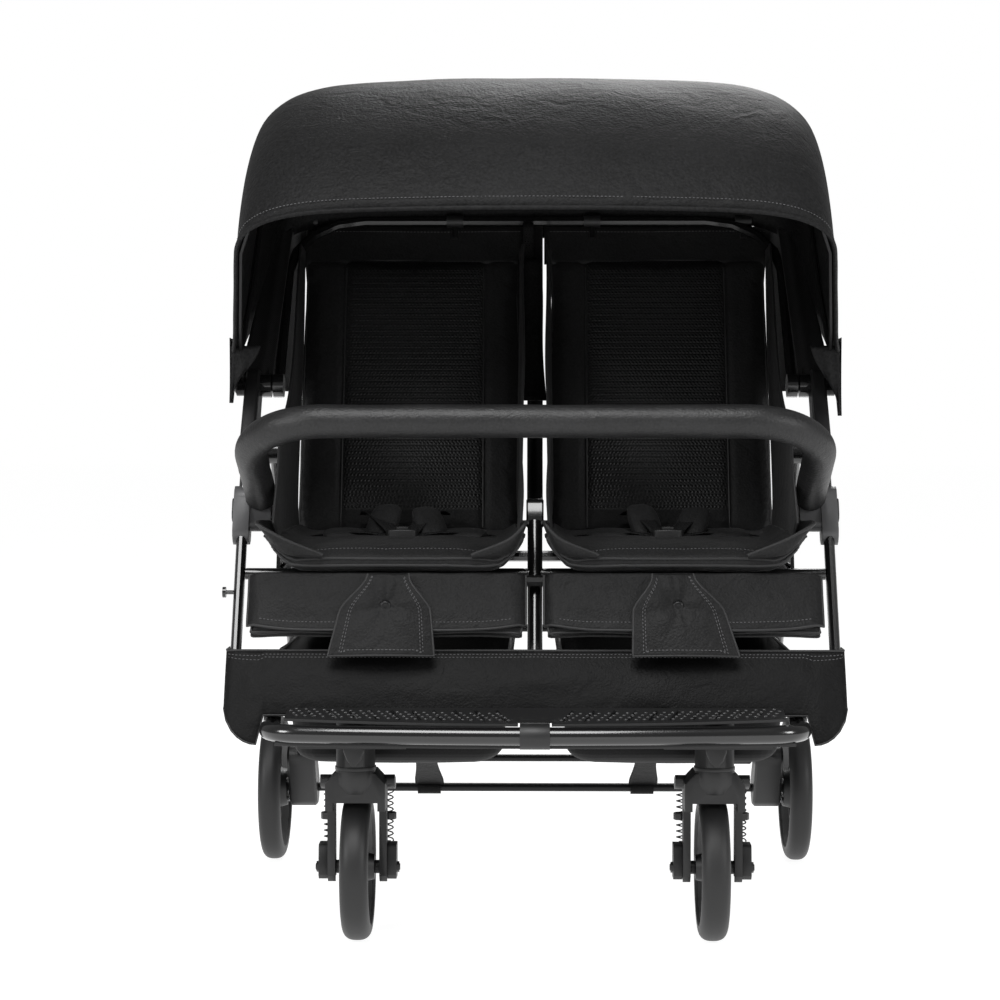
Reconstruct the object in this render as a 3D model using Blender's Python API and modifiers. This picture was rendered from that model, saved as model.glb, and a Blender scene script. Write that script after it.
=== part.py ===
"""Side-by-side double stroller, built piece by piece in metres.

X runs across the stroller, Y from front to back and Z up. Every size below is
measured from the front wheels' axle, and the whole is moved at the end so that
the origin lies under its middle. Left is -X.
"""

import math

import bmesh
import bpy
from mathutils import Matrix, Vector
from mathutils.geometry import convex_hull_2d

for old in list(bpy.data.objects):
    bpy.data.objects.remove(old, do_unlink=True)

MM = 0.001
SIDES = {"l": -1, "r": 1}

# Clearances
FIT = 0.3 * MM
BORE_FIT = 0.3 * MM
SWING_GAP = 2.5 * MM

# Wheels
WHEELBASE = 540 * MM
FRONT_TRACK = 419 * MM
FRONT_WHEEL_D = 172 * MM
FRONT_WHEEL_W = 35 * MM
REAR_WHEEL_D = 200 * MM
REAR_WHEEL_W = 32 * MM
TYRE_DEPTH = 20 * MM
WHEEL_SIDES = 20
SPOKE_WINDOWS = 5
FRONT_AXLE_R = 4 * MM
REAR_AXLE_R = 6 * MM

# Front casters
CASTER_TRAIL = 35 * MM
STEM_R = 23 * MM
STEM_BOTTOM = 207 * MM
FORK_GAP = 52 * MM
FORK_LEG_W = 9 * MM
FORK_LEG_DEEP = 24 * MM
FORK_CROWN_LOW = 159 * MM
FORK_LEG_LOW = 70 * MM
SUSPENSION_TRAVEL = 10 * MM
CARRIER_W = 10.7 * MM
CARRIER_HIGH = 114 * MM
SPRING_R = 5.5 * MM
SPRING_WIRE_R = 0.85 * MM
SPRING_TURNS = 8
SPRING_TOP = 175.5 * MM
LOCK_TAB_W = 24 * MM
LOCK_TAB_H = 27 * MM

# Frame tubes and the lanes they fold in, side by side
FRAME_HALF = 353.5 * MM
TUBE_W = 13 * MM
TUBE_DEEP = 24 * MM
BRACE_R = 7 * MM
FOLD_PIVOT = Vector((0, 200, 658)) * MM
LEG_PIVOT = Vector((0, 150, 575)) * MM
LEG_BEND = Vector((0, 97, 540)) * MM
LEG_SLOPE = math.radians(26.2)
BEAM_Z = 290 * MM
BEAM_DEEP = 20 * MM
BEAM_H = 20 * MM
PIN_R = 6 * MM
EYE_R = 15 * MM
KNUCKLE_WALL = 2.5 * MM
PLATE_W = 4.4 * MM
LOCK_SLOT_R = 60 * MM
REAR_FOLD = math.radians(46.4)

# Handle
HANDLE_LENGTH = 518 * MM
HANDLE_ANGLE = math.radians(42)
HANDLE_CORNER_R = 70 * MM
GRIP_R = 16 * MM
GRIP_HALF = 215 * MM

# Footrest
FOOT_TUBE_R = 10.5 * MM
FOOT_TUBE_Z = 258 * MM
FOOT_FRONT = 132 * MM
FOOT_BOW = 26 * MM
FOOT_HALF = 308 * MM
FOOT_PLATE_T = 3 * MM
FOOT_CLAMP_R = 15 * MM
FOOT_PLATE_HALF = 286 * MM
FOOT_SLOTS = 10

# Bumper bar
BUMPER_PAD_R = 19 * MM
BUMPER_HALF = 331 * MM
BUMPER_END = Vector((0, 70, 523)) * MM
BUMPER_TILT = math.radians(26.6)
BUMPER_REACH = 202 * MM
BUMPER_CORNER_R = 85 * MM
BUMPER_PLUG = 20 * MM

# Seats
SEAT_INNER = 14 * MM
SEAT_FRONT = Vector((0, 14, 424)) * MM
SEAT_REAR = Vector((0, 260, 440)) * MM
SEAT_PAD_T = 24 * MM
SEAT_WING = 40 * MM
SEAT_WING_FLARE = 15 * MM
BACK_TOP = Vector((0, 400, 880)) * MM
BACK_T = 20 * MM
REAR_BOW_CORNER_R = 95 * MM
CALF_LENGTH = 78 * MM
CALF_ANGLE = math.radians(28)
CALF_OUTER = 338 * MM
CALF_T = 18 * MM
SLEEVE_WALL = 2.5 * MM

# Canopy
CANOPY_R = 386 * MM
CANOPY_HALF = 347 * MM
CANOPY_HUB_CLEAR = 2.6 * MM
CANOPY_CORNER_R = 100 * MM
CANOPY_CLOTH = 2 * MM
CANOPY_FRONT = math.radians(149.5)
CANOPY_MID = math.radians(78)
BOW_R = 3 * MM

# Basket
BASKET_TOP = 344 * MM
BASKET_LOW = 196 * MM
BASKET_BACK = 372 * MM
BASKET_WALL = 2.5 * MM
BASKET_GAP = 24 * MM
BASKET_DRAW_FRONT = 46 * MM
BASKET_DRAW_BACK = 22 * MM
APRON_LOW = 272 * MM
APRON_HALF = 364 * MM
APRON_WRAP = 30 * MM
POUCH_LOW = 240 * MM

# Brake
BRAKE_BAR_AHEAD = 35 * MM
BRAKE_BAR_RISE = 46 * MM
BRAKE_BAR = Vector((0, WHEELBASE - BRAKE_BAR_AHEAD, REAR_WHEEL_D / 2 + BRAKE_BAR_RISE))
BRAKE_BAR_R = 5 * MM
BRAKE_PIN_R = 3 * MM
BRAKE_PIN_REACH = 18 * MM

# Sizes that follow from those above
front_r = FRONT_WHEEL_D / 2
rear_r = REAR_WHEEL_D / 2
lane_pitch = TUBE_W + SWING_GAP
lane_handle = FRAME_HALF - lane_pitch
lane_rear = lane_handle - lane_pitch
plate_outer = lane_rear - TUBE_W / 2 - 2 * FIT
plate_inner = plate_outer - PLATE_W
seat_outer = plate_inner - 1.2 * MM
knuckle_inner = lane_handle + TUBE_W / 2 + FIT
knuckle_outer = FRAME_HALF + TUBE_W / 2 + FIT + KNUCKLE_WALL
bow_front_lane = knuckle_outer + FIT + BOW_R
bow_mid_lane = bow_front_lane + 2 * BOW_R + FIT
pin_head = bow_mid_lane + BOW_R + FIT
CANOPY_HUB_HALF = bow_mid_lane + BOW_R + CANOPY_HUB_CLEAR
rear_wheel_x = lane_handle + TUBE_W / 2 + 3.5 * MM + REAR_WHEEL_W / 2
fork_in = FORK_GAP / 2
fork_out = fork_in + FORK_LEG_W
carrier_out = fork_out + FIT + CARRIER_W
spring_x = fork_out + 1.5 * MM
stem_y = -CASTER_TRAIL
fork_leg_y = -4 * MM
fork_leg_back = fork_leg_y + FORK_LEG_DEEP / 2
spring_y = fork_leg_back + FIT + SPRING_R + 0.2 * MM
rear_axle = Vector((0, WHEELBASE, rear_r))
front_reach = FOOT_FRONT + FOOT_CLAMP_R
rear_reach = WHEELBASE + rear_r
middle_y = (rear_reach - front_reach) / 2


def leg_y(z):
    """How far back the front leg's centre line lies at height z, below its bend."""
    return LEG_BEND.y - (LEG_BEND.z - z) * math.tan(LEG_SLOPE)


leg_half = TUBE_DEEP / 2 / math.cos(LEG_SLOPE)
beam_y = leg_y(BEAM_Z + BEAM_H / 2) - leg_half + BEAM_DEEP / 2
seat_cross = SEAT_FRONT.z + 6.5 * MM


# Collections, names and materials

parts = bpy.data.collections.new("double_stroller")
cutters = bpy.data.collections.new("cutters")
bpy.context.scene.collection.children.link(parts)
bpy.context.scene.collection.children.link(cutters)
cutters.hide_render = True

FINISHES = {
    "gloss_tube": ((0.012, 0.012, 0.013), 0.22, 0.6),
    "satin_plastic": ((0.018, 0.018, 0.019), 0.42, 0.0),
    "steel": ((0.55, 0.55, 0.56), 0.3, 1.0),
    "black_steel": ((0.02, 0.02, 0.021), 0.35, 0.8),
    "rubber": ((0.014, 0.014, 0.014), 0.6, 0.0),
    "cloth": ((0.016, 0.016, 0.017), 0.85, 0.0),
    "canopy_cloth": ((0.028, 0.028, 0.03), 0.75, 0.0),
    "leatherette": ((0.022, 0.022, 0.023), 0.5, 0.0),
}


def add(name, data, guide=False):
    """A new object: a piece of the stroller, or a guide that cuts or joins one."""
    obj = bpy.data.objects.new(name, data)
    (cutters if guide else parts).objects.link(obj)
    if guide:
        obj.hide_render = True
        obj.display_type = "WIRE"
    return obj


def paint(obj, finish):
    """Give a piece its own material."""
    colour, rough, metal = FINISHES[finish]
    material = bpy.data.materials.new(obj.name + "_" + finish)
    material.use_nodes = True
    shader = material.node_tree.nodes["Principled BSDF"]
    shader.inputs["Base Color"].default_value = (*colour, 1)
    shader.inputs["Roughness"].default_value = rough
    shader.inputs["Metallic"].default_value = metal
    obj.data.materials.append(material)
    if obj.type == "MESH":
        obj.data.shade_smooth()
        obj.data.set_sharp_from_angle(angle=math.radians(40))
    return obj


# Joints, as empties on their axes

pivots = {}


def joint(name, point, parent=None):
    """An empty on a joint's axis, which the moving pieces hang on."""
    empty = bpy.data.objects.new(name, None)
    empty.empty_display_size = 0.03
    parts.objects.link(empty)
    pivots[name] = Vector(point)
    if parent:
        empty.parent = bpy.data.objects[parent]
        empty.location = pivots[name] - pivots[parent]
    else:
        empty.location = point
    return name


stroller = joint("stroller_frame", (0, 0, 0))
bpy.data.objects[stroller].location = (0, -middle_y, 0)


def hang(obj, where=stroller):
    """Hang a piece, or a guide, on a joint without moving it."""
    obj.parent = bpy.data.objects[where]
    obj.location = Vector(obj.location) - pivots[where]
    return obj


# Basic shapes


def from_bmesh(name, bm, guide=False):
    mesh = bpy.data.meshes.new(name)
    bm.to_mesh(mesh)
    bm.free()
    return add(name, mesh, guide)


def soften(obj, width, segments=1, angle=50):
    """Round the sharp edges of a piece."""
    bevel = obj.modifiers.new("edges", "BEVEL")
    bevel.width = width
    bevel.segments = segments
    bevel.limit_method = "ANGLE"
    bevel.angle_limit = math.radians(angle)
    return obj


def box(name, low, high, edge=0, guide=False):
    """A block between two corners."""
    low, high = Vector(low), Vector(high)
    bm = bmesh.new()
    bmesh.ops.create_cube(bm, size=1)
    bmesh.ops.scale(bm, vec=high - low, verts=bm.verts)
    bmesh.ops.translate(bm, vec=(low + high) / 2, verts=bm.verts)
    obj = from_bmesh(name, bm, guide)
    return soften(obj, edge) if edge else obj


def rod(name, start, end, radius, sides=12, guide=False):
    """A round bar between two points."""
    start, end = Vector(start), Vector(end)
    along = end - start
    turn = along.to_track_quat("Z", "Y").to_matrix().to_4x4()
    bm = bmesh.new()
    bmesh.ops.create_cone(
        bm,
        cap_ends=True,
        segments=sides,
        radius1=radius,
        radius2=radius,
        depth=along.length,
        matrix=Matrix.Translation((start + end) / 2) @ turn,
    )
    return from_bmesh(name, bm, guide)


def slab(name, circles, low_x, high_x, edge=0, sides=12, guide=False):
    """A plate across X whose outline is stretched round circles, each (y, z, radius)."""
    points = []
    for y, z, radius in circles:
        for i in range(sides):
            angle = 2 * math.pi * (i + 0.5) / sides
            points.append(Vector((y + radius * math.cos(angle), z + radius * math.sin(angle))))
    bm = bmesh.new()
    outline = [bm.verts.new((low_x, points[i].x, points[i].y)) for i in convex_hull_2d(points)]
    face = bm.faces.new(outline)
    grown = bmesh.ops.extrude_face_region(bm, geom=[face])["geom"]
    moved = [item for item in grown if isinstance(item, bmesh.types.BMVert)]
    bmesh.ops.translate(bm, vec=(high_x - low_x, 0, 0), verts=moved)
    bmesh.ops.recalc_face_normals(bm, faces=bm.faces)
    obj = from_bmesh(name, bm, guide)
    return soften(obj, edge) if edge else obj


def turned(name, profile, place, steps=WHEEL_SIDES, closed=True, guide=False):
    """A profile of (x, radius) points turned about an X axis through a point."""
    start = math.pi / steps
    bm = bmesh.new()
    verts = [
        bm.verts.new((r * math.cos(start), r * math.sin(start), x)) for x, r in profile
    ]
    for one, other in zip(verts, verts[1:]):
        bm.edges.new((one, other))
    if closed:
        bm.edges.new((verts[-1], verts[0]))
    obj = from_bmesh(name, bm, guide)
    screw = obj.modifiers.new("turn", "SCREW")
    screw.steps = steps
    screw.render_steps = steps
    screw.use_merge_vertices = True
    screw.merge_threshold = 0.00001
    obj.rotation_euler = (0, math.radians(90), 0)
    obj.location = place
    return obj


def joined(base, *others):
    """Weld guides onto a piece."""
    for other in others:
        weld = base.modifiers.new("weld", "BOOLEAN")
        weld.operation = "UNION"
        weld.object = other
    return base


def bored(base, *others):
    """Cut guides out of a piece."""
    for other in others:
        cut = base.modifiers.new("cut", "BOOLEAN")
        cut.operation = "DIFFERENCE"
        cut.object = other
    return base


def rounded(points, radius, steps=4):
    """A path through the points with its inner corners turned to arcs."""
    points = [Vector(point) for point in points]
    path = [points[0]]
    for before, corner, after in zip(points, points[1:], points[2:]):
        come = (corner - before).normalized()
        go = (after - corner).normalized()
        turn = come.angle(go)
        side = (go - come * come.dot(go)).normalized()
        start = corner - come * radius * math.tan(turn / 2)
        centre = start + side * radius
        for i in range(steps + 1):
            angle = turn * i / steps
            path.append(centre - side * radius * math.cos(angle) + come * radius * math.sin(angle))
    path.append(points[-1])
    return path


def wire(name, path, radius, fineness=2, guide=False):
    """A round tube along a path, as a curve with a bevel."""
    curve = bpy.data.curves.new(name, "CURVE")
    curve.dimensions = "3D"
    curve.bevel_depth = radius
    curve.bevel_resolution = fineness
    curve.use_fill_caps = True
    spline = curve.splines.new("POLY")
    spline.points.add(len(path) - 1)
    for point, place in zip(spline.points, path):
        point.co = (*place, 1)
    return add(name, curve, guide)


def solid(obj):
    """A curve made a mesh with welded caps, so that it can be cut or joined."""
    bpy.context.view_layer.update()
    seen = bpy.context.evaluated_depsgraph_get()
    mesh = bpy.data.meshes.new_from_object(obj.evaluated_get(seen))
    bm = bmesh.new()
    bm.from_mesh(mesh)
    bmesh.ops.remove_doubles(bm, verts=bm.verts, dist=0.00001)
    bmesh.ops.recalc_face_normals(bm, faces=bm.faces)
    bm.to_mesh(mesh)
    bm.free()
    name = obj.name
    guide = obj.hide_render
    place = obj.matrix_world.copy()
    bpy.data.objects.remove(obj, do_unlink=True)
    made = add(name, mesh, guide)
    made.matrix_world = place
    return made


def oval(across, deep, sides=12):
    """The section of an oval tube: across lies in the plane of the bend."""
    name = "oval_section_%d_%d" % (round(across / MM * 10), round(deep / MM * 10))
    curve = bpy.data.curves.new(name, "CURVE")
    curve.dimensions = "2D"
    curve.fill_mode = "NONE"
    spline = curve.splines.new("POLY")
    spline.points.add(sides - 1)
    for i, point in enumerate(spline.points):
        angle = 2 * math.pi * (i + 0.5) / sides
        point.co = (across / 2 * math.cos(angle), deep / 2 * math.sin(angle), 0, 1)
    spline.use_cyclic_u = True
    return add(name, curve, guide=True)


def oval_tube(name, path, across, deep, plane, guide=False):
    """An oval tube bent in a plane: path holds (u, v) points and plane places them."""
    curve = bpy.data.curves.new(name, "CURVE")
    curve.dimensions = "3D"
    curve.twist_mode = "Z_UP"
    curve.bevel_mode = "OBJECT"
    curve.bevel_object = oval(across, deep)
    curve.use_fill_caps = True
    spline = curve.splines.new("POLY")
    spline.points.add(len(path) - 1)
    for point, place in zip(spline.points, path):
        point.co = (place[0], place[1], 0, 1)
    obj = add(name, curve, guide)
    obj.matrix_world = plane
    return solid(obj)


def side_plane(x):
    """A plane across X, whose u runs along Y and v along Z."""
    return Matrix(((0, 0, 1, x), (1, 0, 0, 0), (0, 1, 0, 0), (0, 0, 0, 1)))


def tilted_plane(point, angle):
    """A plane that holds the X axis: u runs along X and v rises at the angle from +Y."""
    return Matrix.Translation(point) @ Matrix.Rotation(angle, 4, "X")


def u_shape(half, reach, corner, start=0):
    """The (u, v) path of a U: two arms and the bar that joins them."""
    corners = [(-half, start), (-half, reach), (half, reach), (half, start)]
    return rounded([(u, v, 0) for u, v in corners], corner, 4)


# Wheels


def tyre(name, place, radius, width):
    """A solid tyre with a rounded tread, flat where it meets the ground."""
    half = width / 2
    seat = radius - TYRE_DEPTH
    section = [
        (0.80 * half, seat),
        (half, seat + 0.35 * TYRE_DEPTH),
        (0.85 * half, seat + 0.82 * TYRE_DEPTH),
        (0.35 * half, radius),
        (-0.35 * half, radius),
        (-0.85 * half, seat + 0.82 * TYRE_DEPTH),
        (-half, seat + 0.35 * TYRE_DEPTH),
        (-0.80 * half, seat),
    ]
    spread = 1 / math.cos(math.pi / WHEEL_SIDES)
    return turned(name, [(x, r * spread) for x, r in section], place)


def hub(name, place, radius, width, bore, boss, half, groove=None):
    """A moulded hub: rim, thin web with windows, and a boss; groove is the brake's, inside."""
    rim = radius - TYRE_DEPTH - FIT
    web = 3 * MM
    lip = 0.78 * width / 2
    outline = [
        (half, bore),
        (half, boss),
        (web, boss + 4 * MM),
        (web, rim - 11 * MM),
        (lip, rim),
        (-lip, rim),
        (-web, rim - 11 * MM),
    ]
    if groove:
        low, high, deep = groove
        outline += [
            (-web, high + 6 * MM),
            (-half, high + 2 * MM),
            (-half, high),
            (-half + deep, high),
            (-half + deep, low),
            (-half, low),
        ]
    else:
        outline += [(-web, boss + 4 * MM), (-half, boss)]
    outline.append((-half, bore))
    spread = 1 / math.cos(math.pi / WHEEL_SIDES)
    made = turned(name, [(x, r * spread) for x, r in outline[::-1]], place)
    inner = max(boss, groove[1] + 4 * MM if groove else 0) + 9 * MM
    outer = rim - 14 * MM
    tool = windows(name + "_windows", Vector(place), inner, outer)
    return bored(made, tool)


def windows(name, place, inner, outer):
    """The cutter for the openings between a hub's spokes."""
    bm = bmesh.new()
    span = math.pi / SPOKE_WINDOWS - math.radians(13)
    for i in range(SPOKE_WINDOWS):
        middle = 2 * math.pi * (i + 0.25) / SPOKE_WINDOWS
        corners = []
        for radius, angle in (
            (inner, middle - span * 0.6),
            (inner, middle + span * 0.6),
            (outer, middle + span),
            (outer, middle - span),
        ):
            corners.append(bm.verts.new((-0.02, radius * math.cos(angle), radius * math.sin(angle))))
        face = bm.faces.new(corners)
        grown = bmesh.ops.extrude_face_region(bm, geom=[face])["geom"]
        moved = [item for item in grown if isinstance(item, bmesh.types.BMVert)]
        bmesh.ops.translate(bm, vec=(0.04, 0, 0), verts=moved)
    bmesh.ops.recalc_face_normals(bm, faces=bm.faces)
    obj = from_bmesh(name, bm, guide=True)
    obj.location = place
    return obj


def front_wheel(tag, side):
    place = (side * FRONT_TRACK / 2, 0, front_r)
    spin = joint("front_wheel_axis_" + tag, place, "suspension_axis_" + tag)
    hang(paint(tyre("front_tyre_" + tag, place, front_r, FRONT_WHEEL_W), "rubber"), spin)
    made = hub(
        "front_hub_" + tag, place, front_r, FRONT_WHEEL_W, FRONT_AXLE_R + BORE_FIT, 14.5 * MM, 20 * MM
    )
    hang(paint(made, "satin_plastic"), spin)
    hang(bpy.data.objects["front_hub_" + tag + "_windows"])


def rear_wheel(tag, side):
    place = Vector((side * rear_wheel_x, rear_axle.y, rear_axle.z))
    spin = joint("rear_wheel_axis_" + tag, place, "rear_fold_axis")
    hang(paint(tyre("rear_tyre_" + tag, place, rear_r, REAR_WHEEL_W), "rubber"), spin)
    made = hub(
        "rear_hub_" + tag,
        place,
        rear_r,
        REAR_WHEEL_W,
        REAR_AXLE_R + BORE_FIT,
        16 * MM,
        REAR_WHEEL_W / 2 + 1.5 * MM,
        groove=(BRAKE_PIN_REACH - 5 * MM, BRAKE_PIN_REACH + 5 * MM, 5 * MM),
    )
    if side < 0:
        made.rotation_euler = (0, math.radians(-90), 0)
    hang(paint(made, "satin_plastic"), spin)
    hang(bpy.data.objects["rear_hub_" + tag + "_windows"])


# Front casters


def fork(tag, side):
    """The swivelling fork: domed stem, crown, slotted legs, spring ears and guide rings."""
    x = side * FRONT_TRACK / 2
    stem_top = STEM_BOTTOM - FIT
    crown_top = stem_top - 3 * MM
    name = "fork_" + tag
    outline = [(-STEM_R, crown_top), (-fork_out, crown_top - 13 * MM), (-fork_out, FORK_CROWN_LOW)]
    outline += [(-u, z) for u, z in outline[::-1]]
    bm = bmesh.new()
    face = bm.faces.new([bm.verts.new((x + u, stem_y - 13 * MM, z)) for u, z in outline])
    grown = bmesh.ops.extrude_face_region(bm, geom=[face])["geom"]
    moved = [item for item in grown if isinstance(item, bmesh.types.BMVert)]
    bmesh.ops.translate(bm, vec=(0, fork_leg_back - stem_y + 13 * MM, 0), verts=moved)
    bmesh.ops.recalc_face_normals(bm, faces=bm.faces)
    crown = from_bmesh(name, bm)
    dome = [(stem_top, 0), (stem_top, STEM_R), (crown_top - 12 * MM, STEM_R)]
    dome += [(crown_top - 24 * MM, 0.7 * STEM_R), (crown_top - 28 * MM, 0)]
    stem = turned(name + "_stem", dome, (0, 0, 0), 16, closed=False, guide=True)
    stem.rotation_euler = (0, 0, 0)
    stem.location = (x, stem_y, 0)
    joined(crown, hang(stem))
    for end, offset in (("a", -1), ("b", 1)):
        mid = x + offset * (fork_in + fork_out) / 2
        leg = slab(
            name + "_leg_" + end,
            [
                (fork_leg_y, FORK_LEG_LOW + 6 * MM, FORK_LEG_DEEP / 2 - 5 * MM),
                (fork_leg_y, FORK_LEG_LOW + FORK_LEG_DEEP / 2, FORK_LEG_DEEP / 2),
                (fork_leg_y, FORK_CROWN_LOW, FORK_LEG_DEEP / 2),
            ],
            mid - FORK_LEG_W / 2,
            mid + FORK_LEG_W / 2,
            sides=8,
            guide=True,
        )
        ear_x = sorted((x + offset * (fork_out - 4 * MM), x + offset * (fork_out + 9 * MM)))
        ear = slab(
            name + "_ear_" + end,
            [(spring_y, SPRING_TOP + 8 * MM, 7 * MM), (fork_leg_y, SPRING_TOP + 14 * MM, 7 * MM)],
            ear_x[0],
            ear_x[1],
            sides=8,
            guide=True,
        )
        ring_z = (SPRING_TOP + CARRIER_HIGH) / 2
        ring_place = Vector((x + offset * spring_x, spring_y, ring_z))
        ring = rod(
            name + "_ring_" + end,
            ring_place - Vector((0, 0, 4 * MM)),
            ring_place + Vector((0, 0, 4 * MM)),
            SPRING_R + 3 * MM,
            8,
            guide=True,
        )
        bore = rod(
            name + "_ring_bore_" + end,
            ring_place - Vector((0, 0, 6 * MM)),
            ring_place + Vector((0, 0, 6 * MM)),
            SPRING_R + 0.8 * MM,
            8,
            guide=True,
        )
        joined(crown, hang(leg), hang(ear), hang(ring))
        bored(crown, hang(bore))
    slot = slab(
        name + "_slot",
        [
            (0, FORK_LEG_LOW - 10 * MM, FRONT_AXLE_R + 0.6 * MM),
            (0, front_r + SUSPENSION_TRAVEL + 1 * MM, FRONT_AXLE_R + 0.6 * MM),
        ],
        x - fork_out - 3 * MM,
        x + fork_out + 3 * MM,
        sides=8,
        guide=True,
    )
    well = slab(
        name + "_arch",
        [(0, front_r, front_r + 2 * MM), (0, front_r + SUSPENSION_TRAVEL, front_r + 2 * MM)],
        x - fork_in,
        x + fork_in,
        sides=WHEEL_SIDES,
        guide=True,
    )
    bored(crown, hang(slot), hang(well))
    swivel = joint("swivel_axis_" + tag, (x, stem_y, STEM_BOTTOM), stroller)
    return hang(paint(crown, "satin_plastic"), swivel)


def axle_carrier(tag, side):
    """The sliding blocks outside the fork legs, joined by the wheel's axle and its spacers."""
    x = side * FRONT_TRACK / 2
    name = "axle_carrier_" + tag
    slide = joint("suspension_axis_" + tag, (x, 0, front_r), "swivel_axis_" + tag)
    axle = rod(name, (x - carrier_out - 4 * MM, 0, front_r), (x + carrier_out + 4 * MM, 0, front_r), FRONT_AXLE_R)
    for end, offset in (("a", -1), ("b", 1)):
        span = sorted((x + offset * (fork_out + FIT), x + offset * carrier_out))
        cheek = slab(
            name + "_cheek_" + end,
            [
                (-3 * MM, FORK_LEG_LOW + 12 * MM, 10 * MM),
                (-3 * MM, CARRIER_HIGH - 6 * MM, 6 * MM),
                (spring_y + 1 * MM, CARRIER_HIGH - 5 * MM, 5 * MM),
                (spring_y - 1 * MM, FORK_LEG_LOW + 10 * MM, 8 * MM),
            ],
            span[0],
            span[1],
            sides=8,
            guide=True,
        )
        shelf_x = sorted((x + offset * (fork_in + 2 * MM), x + offset * (fork_out + 3 * MM)))
        shelf = box(
            name + "_shelf_" + end,
            (shelf_x[0], fork_leg_back + FIT, FORK_LEG_LOW + 8 * MM),
            (shelf_x[1], spring_y + 6 * MM, CARRIER_HIGH),
            guide=True,
        )
        spacer_x = sorted((x + offset * (20 * MM + FIT), x + offset * (fork_in - FIT)))
        spacer = rod(
            name + "_spacer_" + end, (spacer_x[0], 0, front_r), (spacer_x[1], 0, front_r), 8 * MM, guide=True
        )
        nut_x = sorted((x + offset * (carrier_out - 1 * MM), x + offset * (carrier_out + 3 * MM)))
        nut = rod(name + "_nut_" + end, (nut_x[0], 0, front_r), (nut_x[1], 0, front_r), 6.5 * MM, 6, guide=True)
        joined(axle, hang(cheek), hang(shelf), hang(spacer), hang(nut))
    return hang(paint(axle, "satin_plastic"), slide)


def springs(tag, side):
    """Two coil springs between the fork's ears and the axle carrier."""
    for end, offset in (("a", -1), ("b", 1)):
        x = side * FRONT_TRACK / 2 + offset * spring_x
        mean = SPRING_R - SPRING_WIRE_R
        low = CARRIER_HIGH + FIT
        high = SPRING_TOP - FIT
        lead = 2 * SPRING_WIRE_R
        count = round(SPRING_TURNS * 8)
        path = [(x + mean, spring_y, low)]
        for i in range(count + 1):
            angle = 2 * math.pi * SPRING_TURNS * i / count
            z = low + lead + (high - low - 2 * lead) * i / count
            path.append((x + mean * math.cos(angle), spring_y + mean * math.sin(angle), z))
        last = path[-1]
        path.append((last[0], last[1], high))
        pitch = (high - low - 2 * lead) / SPRING_TURNS
        gap = pitch - 2 * SPRING_WIRE_R
        print("spring gap between turns %.2f mm" % (gap / MM))
        spring = wire("spring_%s_%s" % (tag, end), path, SPRING_WIRE_R, 1)
        hang(paint(spring, "black_steel"), "swivel_axis_" + tag)


def lock_tab(tag, side):
    """The shield-shaped tab that stops the caster from swivelling, pushed down to lock."""
    x = side * FRONT_TRACK / 2
    y = stem_y - STEM_R - 3 * MM - FIT
    top = BEAM_Z - BEAM_H / 2 - 40 * MM
    half = LOCK_TAB_W / 2
    outline = [
        (-half, top),
        (-half, top - 0.35 * LOCK_TAB_H),
        (-0.66 * half, top - 0.72 * LOCK_TAB_H),
        (-0.2 * half, top - LOCK_TAB_H),
    ]
    outline += [(-u, z) for u, z in outline[::-1]]
    bm = bmesh.new()
    face = bm.faces.new([bm.verts.new((x + u, y, z)) for u, z in outline])
    grown = bmesh.ops.extrude_face_region(bm, geom=[face])["geom"]
    moved = [item for item in grown if isinstance(item, bmesh.types.BMVert)]
    bmesh.ops.translate(bm, vec=(0, -5 * MM, 0), verts=moved)
    bmesh.ops.recalc_face_normals(bm, faces=bm.faces)
    tab = soften(from_bmesh("lock_tab_" + tag, bm), 1.2 * MM)
    slide = joint("lock_axis_" + tag, (x, y, top), stroller)
    return hang(paint(tab, "satin_plastic"), slide)


def crossbeam():
    """The beam between the front legs, with the two stem housings moulded under it."""
    half = FRAME_HALF - TUBE_W / 2 - FIT
    low = BEAM_Z - BEAM_H / 2
    front, back = beam_y - BEAM_DEEP / 2, beam_y + BEAM_DEEP / 2
    beam = box("crossbeam", (-half, front, low), (half, back, BEAM_Z + BEAM_H / 2), 4 * MM)
    for tag, side in SIDES.items():
        x = side * FRONT_TRACK / 2
        wall = [
            (low + 2 * MM, 0),
            (low + 2 * MM, 8 * MM),
            (APRON_LOW - 1.5 * MM, 11 * MM),
            (APRON_LOW - 4 * MM, STEM_R - 3 * MM),
            (APRON_LOW - 7 * MM, STEM_R),
            (STEM_BOTTOM + 4 * MM, STEM_R),
            (STEM_BOTTOM + 4 * MM, STEM_R + 1.2 * MM),
            (STEM_BOTTOM, STEM_R + 1.2 * MM),
            (STEM_BOTTOM, 0),
        ]
        stem = turned("housing_" + tag, wall, (0, 0, 0), 16, closed=False, guide=True)
        stem.rotation_euler = (0, 0, 0)
        stem.location = (x, stem_y, 0)
        face = box(
            "housing_face_" + tag,
            (x - 10 * MM, stem_y - STEM_R - 3 * MM, STEM_BOTTOM + 6 * MM),
            (x + 10 * MM, stem_y - STEM_R + 8 * MM, low - 36 * MM),
            guide=True,
        )
        web = box(
            "housing_web_" + tag,
            (x - 15 * MM, front + 1 * MM, STEM_BOTTOM + 35 * MM),
            (x + 15 * MM, back - 1 * MM, low + 5 * MM),
            guide=True,
        )
        joined(beam, hang(stem), hang(web), hang(face))
    return hang(paint(beam, "satin_plastic"))


# Frame


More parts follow.
